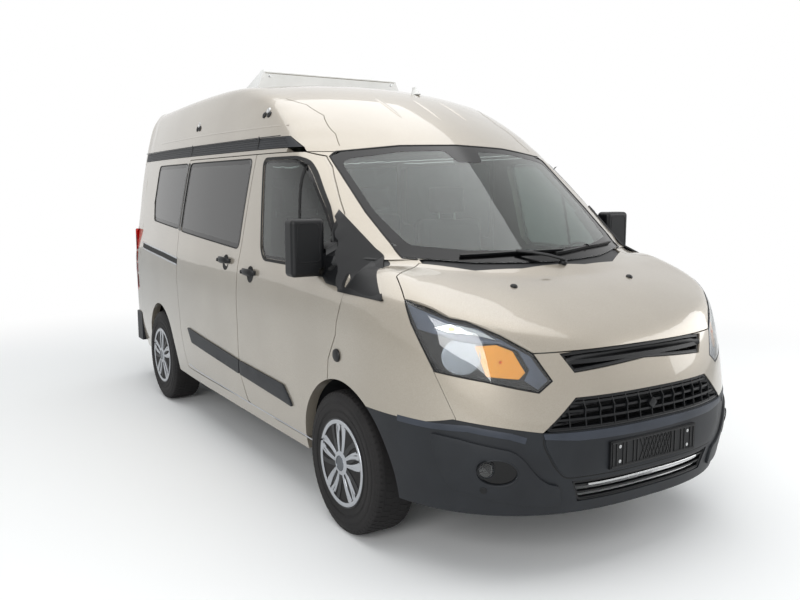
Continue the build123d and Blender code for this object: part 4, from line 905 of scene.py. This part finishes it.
ACROSS = 12
for axle in ("front", "rear"):
    for side in ("right", "left"):
        body = f"{axle}_wheel_{side}"
        outward = -1 if side == "right" else 1
        corners, faces = [], []
        for k in range(10):
            pair, which = divmod(k, 2)
            lean = 1 if which else -1
            start = len(corners)
            rows = 15
            for i in range(rows):
                t = i / (rows - 1)
                radius = 40 + 150 * t
                middle = math.radians(90 + 72 * pair) + lean * (math.radians(15.5) - 0.15 * t ** 2
                                                                - 0.02 * math.sin(math.pi * t))
                half = (9.0 + 13.0 * t ** 1.6) / radius if t > 0.02 else 9.0 / radius
                for j in range(ACROSS + 1):
                    u = -1 + 2 * j / ACROSS
                    crown = 4.2 * (1 - abs(u) ** 3) * (0.55 + 0.45 * math.sin(math.pi * min(1, t + 0.1)))
                    groove = 2.6 * math.exp(-((u - 0.12 * lean) / 0.16) ** 2) * min(1, 4 * t) * min(1, 5 * (1 - t))
                    corners.append(on_wheel(axle, side, radius, middle + u * half, -1.5 + crown - groove))
                for j in (ACROSS, 0):
                    u = -1 + 2 * j / ACROSS
                    corners.append(on_wheel(axle, side, radius, middle + u * half, -7.5))
            size = ACROSS + 3
            for i in range(rows - 1):
                for j in range(size):
                    n = (j + 1) % size
                    a = start + i * size
                    faces.append((a + j, a + n, a + size + n, a + size + j))
            faces.append(tuple(start + j for j in range(size)))
            faces.append(tuple(start + (rows - 1) * size + j for j in reversed(range(size))))
        piece(f"wheel_cover_spokes_{axle}_{side}", corners, faces, wheel_silver, body, angle=50)
        axis = Vector((outward, 0, 0))
        hub = on_wheel(axle, side, 0, 0, 0)
        turned(f"wheel_cover_rim_{axle}_{side}", [(206, -9), (206.5, -1), (204, 2.2), (199, 3.0), (192, 1.6), (183, -1),
                                                  (182, -9)], hub, axis, wheel_silver, body, sides=96)
        turned(f"wheel_cover_cap_{axle}_{side}", [(58, -6), (57, 0.5), (50, 3.2), (41, 4.2), (38, 5.6), (34, 6.2),
                                                  (31, 4.6), (30, 2.6), (18, 3.0), (4, 3.2)], hub, axis,
               wheel_silver, body, sides=48)
        turned(f"wheel_cap_ring_{axle}_{side}", [(37.5, 5.2), (36.5, 7.0), (33.5, 7.2), (32, 5.0)], hub, axis, chrome,
               body, sides=48)
        for k in range(5):
            angle = math.radians(90 + 36 + 72 * k)
            at = on_wheel(axle, side, 88, angle, -28)
            turned(f"wheel_bolt_{axle}_{side}_{k}", [(13, -4), (13, 10), (11, 16), (4, 18)], at, axis, satin_steel,
                   body, sides=6)
            turned(f"wheel_boss_{axle}_{side}_{k}", [(17, -30), (16, 8), (12, 13), (5, 14)],
                   on_wheel(axle, side, 152, angle, -20), axis, wheel_silver, body, sides=20)
        at = on_wheel(axle, side, 196, math.radians(20), 2)
        turned(f"tyre_valve_{axle}_{side}", [(4.5, -6), (4.5, 6), (3.4, 12), (3.2, 15)], at, axis, seal_rubber, body,
               sides=12)
print("wheel covers done")

# %% [markdown]
# A van tyre has raised rings on its sidewall and a tread of ribs cut by sipes. The ribs are shoulder blocks
# and two middle rows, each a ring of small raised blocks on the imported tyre, and the grooves are what shows
# between them. Real tread is 8 mm deep; only its top 3 mm stands proud here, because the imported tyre's
# rolling radius is kept.

# %% Tyre tread and sidewall rings
tyre_low, tyre_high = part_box("tyre_front_right")
TYRE_OUT = (tyre_high.z - tyre_low.z) / 2 / MM
TYRE_WIDE = (tyre_high.x - tyre_low.x) / MM
for axle in ("front", "rear"):
    for side in ("right", "left"):
        body = f"{axle}_wheel_{side}"
        low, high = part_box(f"tyre_{axle}_{side}")
        centre = Vector(((low.x + high.x) / 2, (low.y + high.y) / 2, (low.z + high.z) / 2))
        tread_tree = tree_of(f"tyre_{axle}_{side}")

        def on_tyre(x, angle, lift):
            """A point over the tyre's surface at x millimetres from its middle plane."""
            ray = Vector((0, math.cos(angle), math.sin(angle)))
            spot = centre + LEFTWARD * (x * MM)
            hit, normal, _, _ = tread_tree.ray_cast(spot + ray * 0.6, -ray)
            radius = (hit - spot).length if hit else 0.33
            return spot + ray * (radius + lift * MM)

        radii = {}
        for x in (-99, -93, -86, -79, -72, -66, -62, -40, -22, -16, 16, 22, 40, 62, 66, 72, 79, 86, 93, 99):
            radii[x] = (on_tyre(x, 0.3, 0) - centre - LEFTWARD * (x * MM)).length / MM
        corners, faces = [], []
        rows = [((-99, -93, -86, -79, -72), 72, 0.62, 2.2), ((-62, -40, -22), 60, 0.80, 1.2), ((-16, 16), 60, 0.86, 0.9),
                ((22, 40, 62), 60, 0.80, 1.2), ((72, 79, 86, 93, 99), 72, 0.62, 2.2)]
        for xs, count, share, rise in rows:
            for k in range(count):
                begin = math.tau * (k + (0.5 if xs[0] > 0 else 0)) / count
                end = begin + math.tau / count * share
                skew = 0.018 if len(xs) < 5 else 0.0
                base = len(corners)
                for n, x in enumerate(xs):
                    for angle, lift in ((begin, -2.0), (begin, rise), (end, rise), (end, -2.0)):
                        turn = angle + skew * n
                        ray = Vector((0, math.cos(turn), math.sin(turn)))
                        corners.append(centre + LEFTWARD * (x * MM) + ray * ((radii[x] + lift) * MM))
                for n in range(len(xs) - 1):
                    a = base + 4 * n
                    faces += [(a, a + 1, a + 5, a + 4), (a + 1, a + 2, a + 6, a + 5), (a + 2, a + 3, a + 7, a + 6),
                              (a + 3, a, a + 4, a + 7)]
                faces += [(base, base + 3, base + 2, base + 1),
                          tuple(base + 4 * (len(xs) - 1) + i for i in range(4))]
        piece(f"tyre_tread_{axle}_{side}", corners, faces, tyre_rubber, body, angle=20)
        outward = -1 if side == "right" else 1
        axis = Vector((outward, 0, 0))
        face_tree = tread_tree
        for k, radius in enumerate((222, 246, 252, 286)):
            start = Vector((centre.x + outward * 0.4, centre.y, centre.z + radius * MM))
            hit, _, _, _ = face_tree.ray_cast(start, -axis)
            if hit is None:
                continue
            stand = (hit.x - centre.x) * outward / MM
            turned(f"sidewall_ring_{axle}_{side}_{k}", [(radius + 2.4, stand - 3), (radius + 1.6, stand + 1.0),
                                                        (radius - 1.6, stand + 1.3), (radius - 2.4, stand - 3),
                                                        (radius + 2.4, stand - 3)], centre, axis, tyre_rubber, body,
                   sides=96)
print("tyres done")
# %% [markdown]
# A van seat is a foam block in a sewn cloth cover: base, back and headrest, each crowned in the middle and
# pulled in between its corners. Each pad starts as a rounded box of an even grid, slightly small, and Blender's
# Cloth with inner pressure swells it. How far a point may move is capped, so that a pad stays in its place.
# The grid takes the place of a voxel remesh, because some thirty pads at 5 mm would be far too heavy.

# %% Seat pads
SEAT_TOP, CUSHION_THICK, BACK_TALL, SEAT_DEEP = 880.0, 140.0, 560.0, 500.0
pads = []


def pad(name, middle, size, lean, cap=14.0):
    """A padded block, its middle and size in millimetres, leaning back by lean degrees."""
    work = bmesh.new()
    bmesh.ops.create_cube(work, size=1.0)
    bmesh.ops.subdivide_edges(work, edges=work.edges, cuts=13, use_grid_fill=True)
    turn = Matrix.Rotation(math.radians(lean), 4, "X")
    for v in work.verts:
        v.co = Vector((v.co.x * size[0], v.co.y * size[1], v.co.z * size[2])) * MM
    for _ in range(3):
        bmesh.ops.smooth_vert(work, verts=work.verts, factor=0.5, use_axis_x=True, use_axis_y=True, use_axis_z=True)
    for v in work.verts:
        v.co = turn @ v.co + Vector(middle) * MM
    mesh = bpy.data.meshes.new(name)
    work.to_mesh(mesh)
    work.free()
    made = bpy.data.objects.new(name, mesh)
    bpy.context.scene.collection.objects.link(made)
    pads.append((made, cap, size, lean))
    return made


def seat(label, x, front_y, width):
    """Base, back and headrest of one place."""
    rear_y = front_y + SEAT_DEEP
    base = pad(f"{label}_base_pad", (x, front_y + 232, SEAT_TOP - 66), (width - 22, 455, 112), -3)
    pad(f"{label}_back_pad", (x, rear_y + 6, SEAT_TOP + 270), (width - 26, 96, 545), -6)
    pad(f"{label}_head_pad", (x, rear_y + 58, SEAT_TOP + BACK_TALL + 96), (236, 74, 160), -4, cap=9)
    for k, post in enumerate((-62, 62)):
        tube(f"{label}_headrest_post_{k}", [((x + post) * MM, (rear_y + 52) * MM, (SEAT_TOP + BACK_TALL - 60) * MM),
                                            ((x + post) * MM, (rear_y + 58) * MM, (SEAT_TOP + BACK_TALL + 60) * MM)],
             6, satin_steel, "van_body")
    return base


def plinth(label, x, front_y, half_x, floor_z=563.0):
    rings = []
    for z, grow in ((floor_z, 12), (floor_z + 30, 0), (SEAT_TOP - CUSHION_THICK - 6, 0), (SEAT_TOP - CUSHION_THICK, -6)):
        ring = rounded([(-half_x - grow, front_y + 60 - grow), (half_x + grow, front_y + 60 - grow),
                        (half_x + grow, front_y + 430 + grow), (-half_x - grow, front_y + 430 + grow)], 40)
        rings.append([Vector(((x + a) * MM, b * MM, z * MM)) for a, b in ring])
    loft(f"{label}_plinth", rings, cabin_plastic, "van_body")
    rear_y = front_y + SEAT_DEEP
    shell = []
    for z, y in ((SEAT_TOP - 120, rear_y - 4), (SEAT_TOP, rear_y + 20), (SEAT_TOP + 280, rear_y + 52),
                 (SEAT_TOP + 500, rear_y + 74), (SEAT_TOP + 535, rear_y + 76)):
        inset = 0 if z < SEAT_TOP + 510 else 24
        wide = half_x + (40 if half_x < 300 else 0) - inset
        ring = rounded([(-wide, y - 24), (wide, y - 24), (wide, y + 12), (-wide, y + 12)], 16)
        shell.append([Vector(((x + a) * MM, b * MM, z * MM)) for a, b in ring])
    loft(f"{label}_back_shell", shell, cabin_plastic, "van_body")


front_base = None
for side, x in (("right", -400), ("left", 400)):
    base = seat(f"front_seat_{side}", x, -960, 500)
    front_base = front_base or base
    plinth(f"front_seat_{side}", x, -960, 200)
rear_base = None
for row, front_y in (("middle", 20), ("rear", 1180)):
    for place, x in (("right", -430), ("centre", 0), ("left", 430)):
        base = seat(f"{row}_bench_{place}", x, front_y, 436)
        rear_base = rear_base or base
    plinth(f"{row}_bench", 0, front_y, 610)
print(len(pads), "pads")

# %% Inflating the pads
scene = bpy.context.scene
for made, _, _, _ in pads:
    cloth = made.modifiers.new("stuffing", "CLOTH")
    cloth.settings.quality = 5
    cloth.settings.mass = 0.3
    cloth.settings.tension_stiffness = 18
    cloth.settings.compression_stiffness = 18
    cloth.settings.bending_stiffness = 2.0
    cloth.settings.use_pressure = True
    cloth.settings.uniform_pressure_force = 4.0
    cloth.settings.effector_weights.gravity = 0.0
    cloth.point_cache.frame_start = 1
    cloth.point_cache.frame_end = 20
for step in range(1, 21):
    scene.frame_set(step)
graph = bpy.context.evaluated_depsgraph_get()
swollen = []
for made, cap, _, _ in pads:
    shape = made.evaluated_get(graph).to_mesh()
    swollen.append([v.co.copy() for v in shape.vertices])
for (made, cap, _, _), after in zip(pads, swollen):
    for v, moved in zip(made.data.vertices, after):
        step_by = moved - v.co
        if step_by.length > cap * MM:
            step_by = step_by.normalized() * cap * MM
        v.co = v.co + step_by
    made.modifiers.clear()
scene.frame_set(1)
for made, cap, size, lean in pads:
    soft = made.modifiers.new("smooth", "SUBSURF")
    soft.levels = soft.render_levels = 1
    settle(made)
    made.data.polygons.foreach_set("use_smooth", [True] * len(made.data.polygons))
    made.data.materials.append(seat_cloth)
    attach(made, "van_body")
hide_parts("front_seats")
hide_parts("rear_seats")
print("pads inflated")

# %% [markdown]
# A line of piping closes each pad's cover where the top panel meets the sides, and sewn channels cross the
# panels. They are thin cords laid on the swollen pads, so they follow the crown.

# %% Piping and sewn channels
for made, cap, size, lean in pads:
    if "head" in made.name:
        continue
    tree = BVHTree.FromPolygons([v.co.copy() for v in made.data.vertices], [tuple(p.vertices) for p in made.data.polygons])
    lows = [min(v.co[i] for v in made.data.vertices) / MM for i in range(3)]
    highs = [max(v.co[i] for v in made.data.vertices) / MM for i in range(3)]
    across = 1 if "base" in made.name else 2
    view = "top" if "base" in made.name else "front"
    frame_line = rounded([(lows[0] + 34, lows[across] + 34), (highs[0] - 34, lows[across] + 34),
                          (highs[0] - 34, highs[across] - 34), (lows[0] + 34, highs[across] - 34)], 60)
    strip(made.name.replace("pad", "piping"), view, frame_line, tree, 6, 2.6, seat_piping, "van_body", closed=True,
          step=30)
    for k, share in enumerate((0.36, 0.64)):
        level = lows[across] + (highs[across] - lows[across]) * share
        strip(made.name.replace("pad", f"channel_{k}"), view, [(lows[0] + 40, level), (highs[0] - 40, level)], tree,
              5, 1.2, seat_piping, "van_body", step=40)
print("seats done")

# %% [markdown]
# Each door mirror has a main glass and a small wide-angle glass below it in a black frame, and a clear side
# repeater under its arm. All of it rides on the door.

# %% Mirrors
for side in ("right", "left"):
    sign = -1 if side == "right" else 1
    tree = tree_of("mirror_" + side)
    low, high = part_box("mirror_" + side)
    outer = low.x if side == "right" else high.x
    inner = outer - sign * 0.168
    a, b = sorted((outer / MM - sign * 14, inner / MM + sign * 14))
    patch(f"mirror_glass_{side}", "rear", rounded([(a, 1282), (b, 1282), (b, 1456), (a, 1456)], 26), tree,
          mirror_silver, "front_door_" + side, high=1.5, low=-1, step=30, bevel=0.8)
    patch(f"mirror_wide_glass_{side}", "rear", rounded([(a, 1216), (b, 1216), (b, 1270), (a, 1270)], 16), tree,
          mirror_silver, "front_door_" + side, high=1.5, low=-1, step=30, bevel=0.8)
    strip(f"mirror_case_seam_{side}", "front", [(a + 4, 1258), (b - 4, 1258)], tree, 3, 0.8, seal_rubber,
          "front_door_" + side)
    strip(f"mirror_cap_edge_{side}", "front", rounded([(a + 8, 1270), (b - 8, 1270), (b - 16, 1452), (a + 16, 1452)], 24),
          tree, 4, 1.6, trim_plastic, "front_door_" + side, closed=True)
    patch(f"mirror_repeater_{side}", "front", rounded([(inner / MM - 34, 1212), (inner / MM + 34, 1212),
                                                       (inner / MM + 34, 1240), (inner / MM - 34, 1240)], 10),
          tree, repeater_lens, "front_door_" + side, high=6, low=-2, step=16, bevel=2)
print("mirrors done")

# %% [markdown]
# The raised roof is a separate moulding bonded to the body. A black ribbed strip covers the joint along each
# side, round plugs close the anchor points above it, three beads stiffen the brow over the windscreen, and a
# short fin aerial stands near the front. The white box over the middle is a roof vent housing.

# %% Roof
roof_tree = tree_of("roof")
strip_tree = tree_of("roof_side_strips")
for side in ("right", "left"):
    for k, z in enumerate((1842, 1855, 1868, 1881, 1894)):
        strip(f"roof_strip_rib_{side}_{k}", side, [(-650 + 6 * k - (1894 - z) * 0.9, z), (600, z), (2240, z)], strip_tree, 5,
              2.2, bumper_plastic, "van_body", step=120)
    for k, y in enumerate((-350, 828)):
        strip(f"roof_strip_joint_{side}_{k}", side, [(y, 1834), (y, 1902)], strip_tree, 6, 3.4, seal_rubber,
              "van_body")
    for k, (y, z) in enumerate(((794, 2014), (-335, 2026))):
        for n, (dy, dz) in enumerate(((-26, 0), (26, 0), (0, 24))):
            at, out = drop(roof_tree, side, y + dy, z + dz)
            turned(f"roof_plug_{side}_{k}_{n}", [(19, -2), (19, 3), (16, 5.5), (9, 6.5), (8, 4.6), (4, 4.6)], at, out,
                   satin_steel if n == 2 else trim_plastic, "van_body", sides=24)
    strip(f"roof_moulding_seam_{side}", side, [(-905, 1835), (-820, 1900), (-640, 2010), (-480, 2080), (-340, 2122)],
          roof_tree, 5, 0.8, seam_sealer, "van_body", step=50)
    strip(f"roof_crease_{side}", side, [(-600, 1953), (500, 1960), (1800, 1958)], roof_tree, 10, 1.6,
          champagne_paint, "van_body", step=90)
for k, (x, y) in enumerate(((-184, -777), (77, -788), (299, -742))):
    low_end = [drop(roof_tree, "top", x, y + 25 * n) for n in range(13)]
    size = [0.15 + 0.85 * math.sin(math.pi * n / 12) ** 0.5 for n in range(13)]
    corners, faces = [], []
    for (spot, normal), s in zip(low_end, size):
        for a, b in ((-20, -2), (-13, 1.6), (-6, 3.6), (6, 3.6), (13, 1.6), (20, -2)):
            corners.append(spot + LEFTWARD * (a * s * MM) + normal * (b * s * MM if b > 0 else b * MM))
    for i in range(12):
        faces += [(i * 6 + j, i * 6 + (j + 1) % 6, (i + 1) * 6 + (j + 1) % 6, (i + 1) * 6 + j) for j in range(6)]
    faces += [tuple(range(6)), tuple(72 + j for j in reversed(range(6)))]
    piece(f"roof_bead_{k}", corners, faces, champagne_paint, "van_body", angle=60)
foot, out = drop(roof_tree, "top", 243, -270)
rings = []
for t, wide, long_front, long_rear in ((-3, 22, 60, 50), (4, 20, 56, 48), (14, 11, 38, 44), (30, 6, 14, 42), (46, 3, -10, 40)):
    rings.append([foot + UPWARD * (t * MM) + LEFTWARD * (a * MM) + BACKWARD * (b * MM) for a, b in
                  ((0, -long_front), (wide, -long_front * 0.4), (wide, long_rear * 0.7), (0, long_rear),
                   (-wide, long_rear * 0.7), (-wide, -long_front * 0.4))])
loft("roof_aerial", rings, white_plastic, "van_body", angle=60)
box_tree = tree_of("roof_box")
box_low, box_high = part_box("roof_box")
for k, x in enumerate((-470, 470)):
    at, out = drop(box_tree, "front", x, box_high.z / MM - 40)
    turned(f"roof_box_screw_{k}", [(9, -1), (9, 2), (6, 3.4), (2, 3.6)], at, out, satin_steel, "van_body", sides=24)
strip("roof_box_lid_seam", "front", [(-500, box_high.z / MM - 22), (500, box_high.z / MM - 22)], box_tree, 4, 0.8,
      seam_sealer, "van_body", step=60)
strip("roof_box_gasket", "top", rounded([(box_low.x / MM + 4, box_low.y / MM + 2), (box_high.x / MM - 4, box_low.y / MM + 2),
      (box_high.x / MM - 4, box_high.y / MM - 2), (box_low.x / MM + 4, box_high.y / MM - 2)], 20), tree_of("roof"), 14, 5,
      seal_rubber, "van_body", closed=True, step=60)
print("roof done")

# %% [markdown]
# At the back, two glazed doors meet in the middle. They have black window borders, a handle over a blank
# plate place, a high stop lamp and hinges; the tail lamps are red columns with a clear reversing light and an
# amber indicator.

# %% Rear doors and lamps
BACK_WINDOW = [(-680, 1300), (-620, 1700), (-110, 1700), (-110, 1300)]
tail_tree = tree_of("tail_lamps")
tail_low, tail_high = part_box("tail_lamps")
for side in ("right", "left"):
    sign = 1 if side == "right" else -1
    door = "rear_door_" + side
    window = rounded([(sign * a, b) for a, b in BACK_WINDOW], 42)
    patch(f"back_window_border_{side}", "rear", moved_in(window, 2), tree_of("rear_door_glass_" + side), gloss_black, door, high=0.6, low=-0.5,
          holes=[moved_in(window, 30)], step=40)
    strip(f"back_window_seal_{side}", "rear", moved_in(window, -3), tree_of(door, "rear_door_glass_" + side), 9, 2,
          seal_rubber, door, closed=True, step=40)
    for k, z in enumerate((720, 1080, 1560)):
        at, out = drop(tree_of(door), "rear", sign * -738, z)
        loft(f"back_hinge_{side}_{k}", [[at + out * (d * MM) + LEFTWARD * (x * s * MM) + UPWARD * (y * s * MM)
                                         for x, y in rounded([(-34, -22), (34, -22), (34, 22), (-34, 22)], 10)]
                                        for d, s in ((-3, 1.0), (7, 1.0), (10, 0.86))], champagne_paint, door)
    for label, z0, z1, material in (("brake", 1100, 1276, red_lens), ("indicator", 1000, 1090, amber_lens),
                                    ("reversing", 905, 990, lamp_lens), ("fog", 775, 895, red_lens)):
        xs = (-906, -798) if side == "right" else (798, 906)
        patch(f"tail_{label}_{side}", "rear", rounded([(xs[0], z0), (xs[1], z0), (xs[1], z1), (xs[0], z1)], 12), tail_tree,
              material, "van_body", high=2.2, low=-1, step=24, bevel=1.2)
patch("back_handle", "rear", rounded([(-290, 1085), (-20, 1085), (-20, 1140), (-290, 1140)], 20), tree_of("rear_door_right"), trim_plastic,
      "rear_door_right", high=16, low=-2, step=30, bevel=5, segments=3)
patch("back_plate_place", "rear", rounded([(-290, 930), (-24, 930), (-24, 1066), (-290, 1066)], 16), tree_of("rear_door_right"), trim_plastic,
      "rear_door_right", high=3, low=-2, step=30, bevel=1)
patch("back_plate_blank", "rear", rounded([(-276, 944), (-38, 944), (-38, 1052), (-276, 1052)], 8), tree_of("rear_door_right"), white_plastic,
      "rear_door_right", high=4.4, low=-2, step=30, bevel=0.6)
strip("back_meeting_seal", "rear", [(2, 600), (2, 1780)], tree_of("rear_door_left"), 12, 3, seal_rubber, "rear_door_left", step=60)
patch("high_stop_lamp", "rear", rounded([(-150, 1846), (150, 1846), (150, 1874), (-150, 1874)], 10), roof_tree, red_lens,
      "van_body", high=9, low=-2, step=24, bevel=3)
strip("rear_step_grip_0", "rear", [(-620, 556), (620, 556)], tree_of("rear_bumper"), 8, 3, bumper_plastic, "van_body",
      step=60)
strip("rear_step_grip_1", "rear", [(-620, 530), (620, 530)], tree_of("rear_bumper"), 8, 3, bumper_plastic, "van_body",
      step=60)
for side, x in (("right", -560), ("left", 560)):
    patch(f"rear_reflector_{side}", "rear", rounded([(x - 70, 400), (x + 70, 400), (x + 70, 436), (x - 70, 436)], 10),
          tree_of("rear_bumper"), red_lens, "van_body", high=4, low=-1, step=24, bevel=1.5)
print("rear done")

# %% [markdown]
# The sail trim in front of the door is one black triangle from the mirror foot to the top of the wing. A thin
# cover closes the joint between its two imported parts. In the cabin, the dashboard gets its instrument hood, a
# centre hood and vents, all seen through the windscreen.

# %% Sail cover and dashboard
dash_tree = tree_of("dashboard")
dash_low, dash_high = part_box("dashboard")
for side in ("right", "left"):
    sail_tree = tree_of("sail_trims", "fenders", "windscreen_pillars")
    sail = [(-1230, 1511), (-1484, 1151), (-1822, 1143), (-1556, 1300)]
    ends = [drop(sail_tree, side, y, z, lift=3)[0] for y, z in sail]
    sheet = BVHTree.FromPolygons(ends, [(0, 1, 3), (1, 2, 3)])
    patch(f"sail_cover_{side}", side, rounded(sail, 8), sheet, trim_plastic, "van_body", high=9, low=0, step=30,
          bevel=2)
dash_top = dash_high.z / MM
for label, x, wide in (("instrument", 400, 170), ("centre", 0, 130)):
    at, out = drop(dash_tree, "top", x, (dash_low.y + dash_high.y) / 2 / MM)
    rings = []
    for t, rise, w in ((-150, 4, 0.9), (-90, 34, 1.0), (0, 58, 1.0), (60, 62, 0.96), (66, 54, 0.94)):
        ring = [(math.cos(math.pi * k / 14), math.sin(math.pi * k / 14)) for k in range(15)]
        rings.append([at + LEFTWARD * (a * wide * w * MM) + UPWARD * ((b * rise - 4) * MM) + BACKWARD * (t * MM)
                      for a, b in ring])
    loft(f"{label}_hood", rings, cabin_plastic, "van_body", angle=50)
for k, x in enumerate((-620, -240, 240, 620)):
    at, out = drop(dash_tree, "rear", x, dash_top - 70)
    turned(f"dash_vent_{k}", [(44, -3), (44, 4), (38, 6), (35, 1), (10, 1)], at, BACKWARD, gloss_black, "van_body")
print("cabin done")

# %% [markdown]
# The camera stands to the front right of the van, a little above shoulder height, with a 36.5 mm lens on a
# 36 mm sensor. The yaw turns it from looking straight back along the van towards the van's left.

# %% Camera
CAMERA_AT = (-2.693, -4.7195, 1.6172)
CAMERA_YAW = math.radians(32.35)
CAMERA_PITCH = math.radians(-7.89)
camera_data = bpy.data.cameras.new("camera")
camera_data.lens = 36.516
camera_data.sensor_width = 36.0
camera = bpy.data.objects.new("camera", camera_data)
bpy.context.scene.collection.objects.link(camera)
look = Vector((math.sin(CAMERA_YAW) * math.cos(CAMERA_PITCH), math.cos(CAMERA_YAW) * math.cos(CAMERA_PITCH),
               math.sin(CAMERA_PITCH)))
camera.location = CAMERA_AT
camera.rotation_mode = "QUATERNION"
camera.rotation_quaternion = look.to_track_quat("-Z", "Y")
bpy.context.scene.camera = camera

# %% [markdown]
# A pale floor and a world that looks white to the camera stand for a photo studio. The soft light comes from
# three large area lamps and a light grey sky, so that the paint shows long, soft highlights.


# %% Floor, sky and lamps
def soft_lamp(name, at, target, size, watts):
    data = bpy.data.lights.new(name, "AREA")
    data.energy = watts
    data.shape = "RECTANGLE"
    data.size, data.size_y = size
    lamp = bpy.data.objects.new(name, data)
    bpy.context.scene.collection.objects.link(lamp)
    lamp.location = at
    lamp.rotation_mode = "QUATERNION"
    lamp.rotation_quaternion = (Vector(target) - Vector(at)).to_track_quat("-Z", "Y")
    return lamp


soft_lamp("sky_panel", (0, 0, 7.5), (0, 0, 0), (9, 10), 420)
soft_lamp("front_right_panel", (-6.5, -6.5, 4.0), (0, 0, 1.0), (5, 4), 330)
soft_lamp("left_panel", (7.0, -4.0, 3.5), (0, 0, 1.0), (5, 4), 160)

world = bpy.data.worlds.new("studio_sky")
world.use_nodes = True
bpy.context.scene.world = world
world.node_tree.nodes.clear()
sky_tree = world.node_tree
rays = add(sky_tree, "ShaderNodeLightPath")
direct = add(sky_tree, "ShaderNodeMath", {}, {0: (rays, "Is Camera Ray"), 1: (rays, "Is Glossy Ray")},
             operation="MAXIMUM")
shown = add(sky_tree, "ShaderNodeMath", {}, {0: (direct, 0), 1: (rays, "Is Transmission Ray")},
            operation="MAXIMUM")
seen = add(sky_tree, "ShaderNodeBackground", {"Color": linear("#FFFFFF"), "Strength": 1.0})
lit = add(sky_tree, "ShaderNodeBackground", {"Color": linear("#E9EEF2"), "Strength": 0.55})
sky_mix = add(sky_tree, "ShaderNodeMixShader", {}, {"Fac": (shown, 0), 1: (lit, 0), 2: (seen, 0)})
sky_end = add(sky_tree, "ShaderNodeOutputWorld", {}, {"Surface": (sky_mix, 0)})

floor_mesh = bpy.data.meshes.new("studio_floor")
REACH = 40.0
floor_mesh.from_pydata([(-REACH, -REACH, 0), (REACH, -REACH, 0), (REACH, REACH, 0), (-REACH, REACH, 0)], [],
                       [(0, 1, 2, 3)])
floor = bpy.data.objects.new("studio_floor", floor_mesh)
bpy.context.scene.collection.objects.link(floor)
floor_paint, floor_tree = start_material("pale_floor_paint")
floor_shader = add(floor_tree, "ShaderNodeBsdfPrincipled", {"Base Color": linear("#F6F6F5"), "Roughness": 0.85})
floor_place = add(floor_tree, "ShaderNodeTexCoord")
far = add(floor_tree, "ShaderNodeVectorMath", {}, {0: (floor_place, "Object")}, operation="LENGTH")
far_share = add(floor_tree, "ShaderNodeMapRange", {"From Min": 3.2, "From Max": 6.5}, {"Value": (far, "Value")},
                interpolation_type="SMOOTHSTEP")
floor_rays = add(floor_tree, "ShaderNodeLightPath")
floor_direct = add(floor_tree, "ShaderNodeMath", {}, {0: (floor_rays, "Is Camera Ray"),
                                                      1: (floor_rays, "Is Transmission Ray")}, operation="MAXIMUM")
floor_share = add(floor_tree, "ShaderNodeMath", {}, {0: (floor_direct, 0), 1: (far_share, 0)},
                  operation="MULTIPLY")
floor_white = add(floor_tree, "ShaderNodeEmission", {"Color": linear("#FFFFFF"), "Strength": 1.0})
floor_mix = add(floor_tree, "ShaderNodeMixShader", {}, {"Fac": (floor_share, 0), 1: (floor_shader, 0),
                                                        2: (floor_white, 0)})
finish_material(floor_paint, floor_mix, "Shader")
floor_mesh.materials.append(floor_paint)
bpy.context.scene.view_settings.view_transform = "Standard"
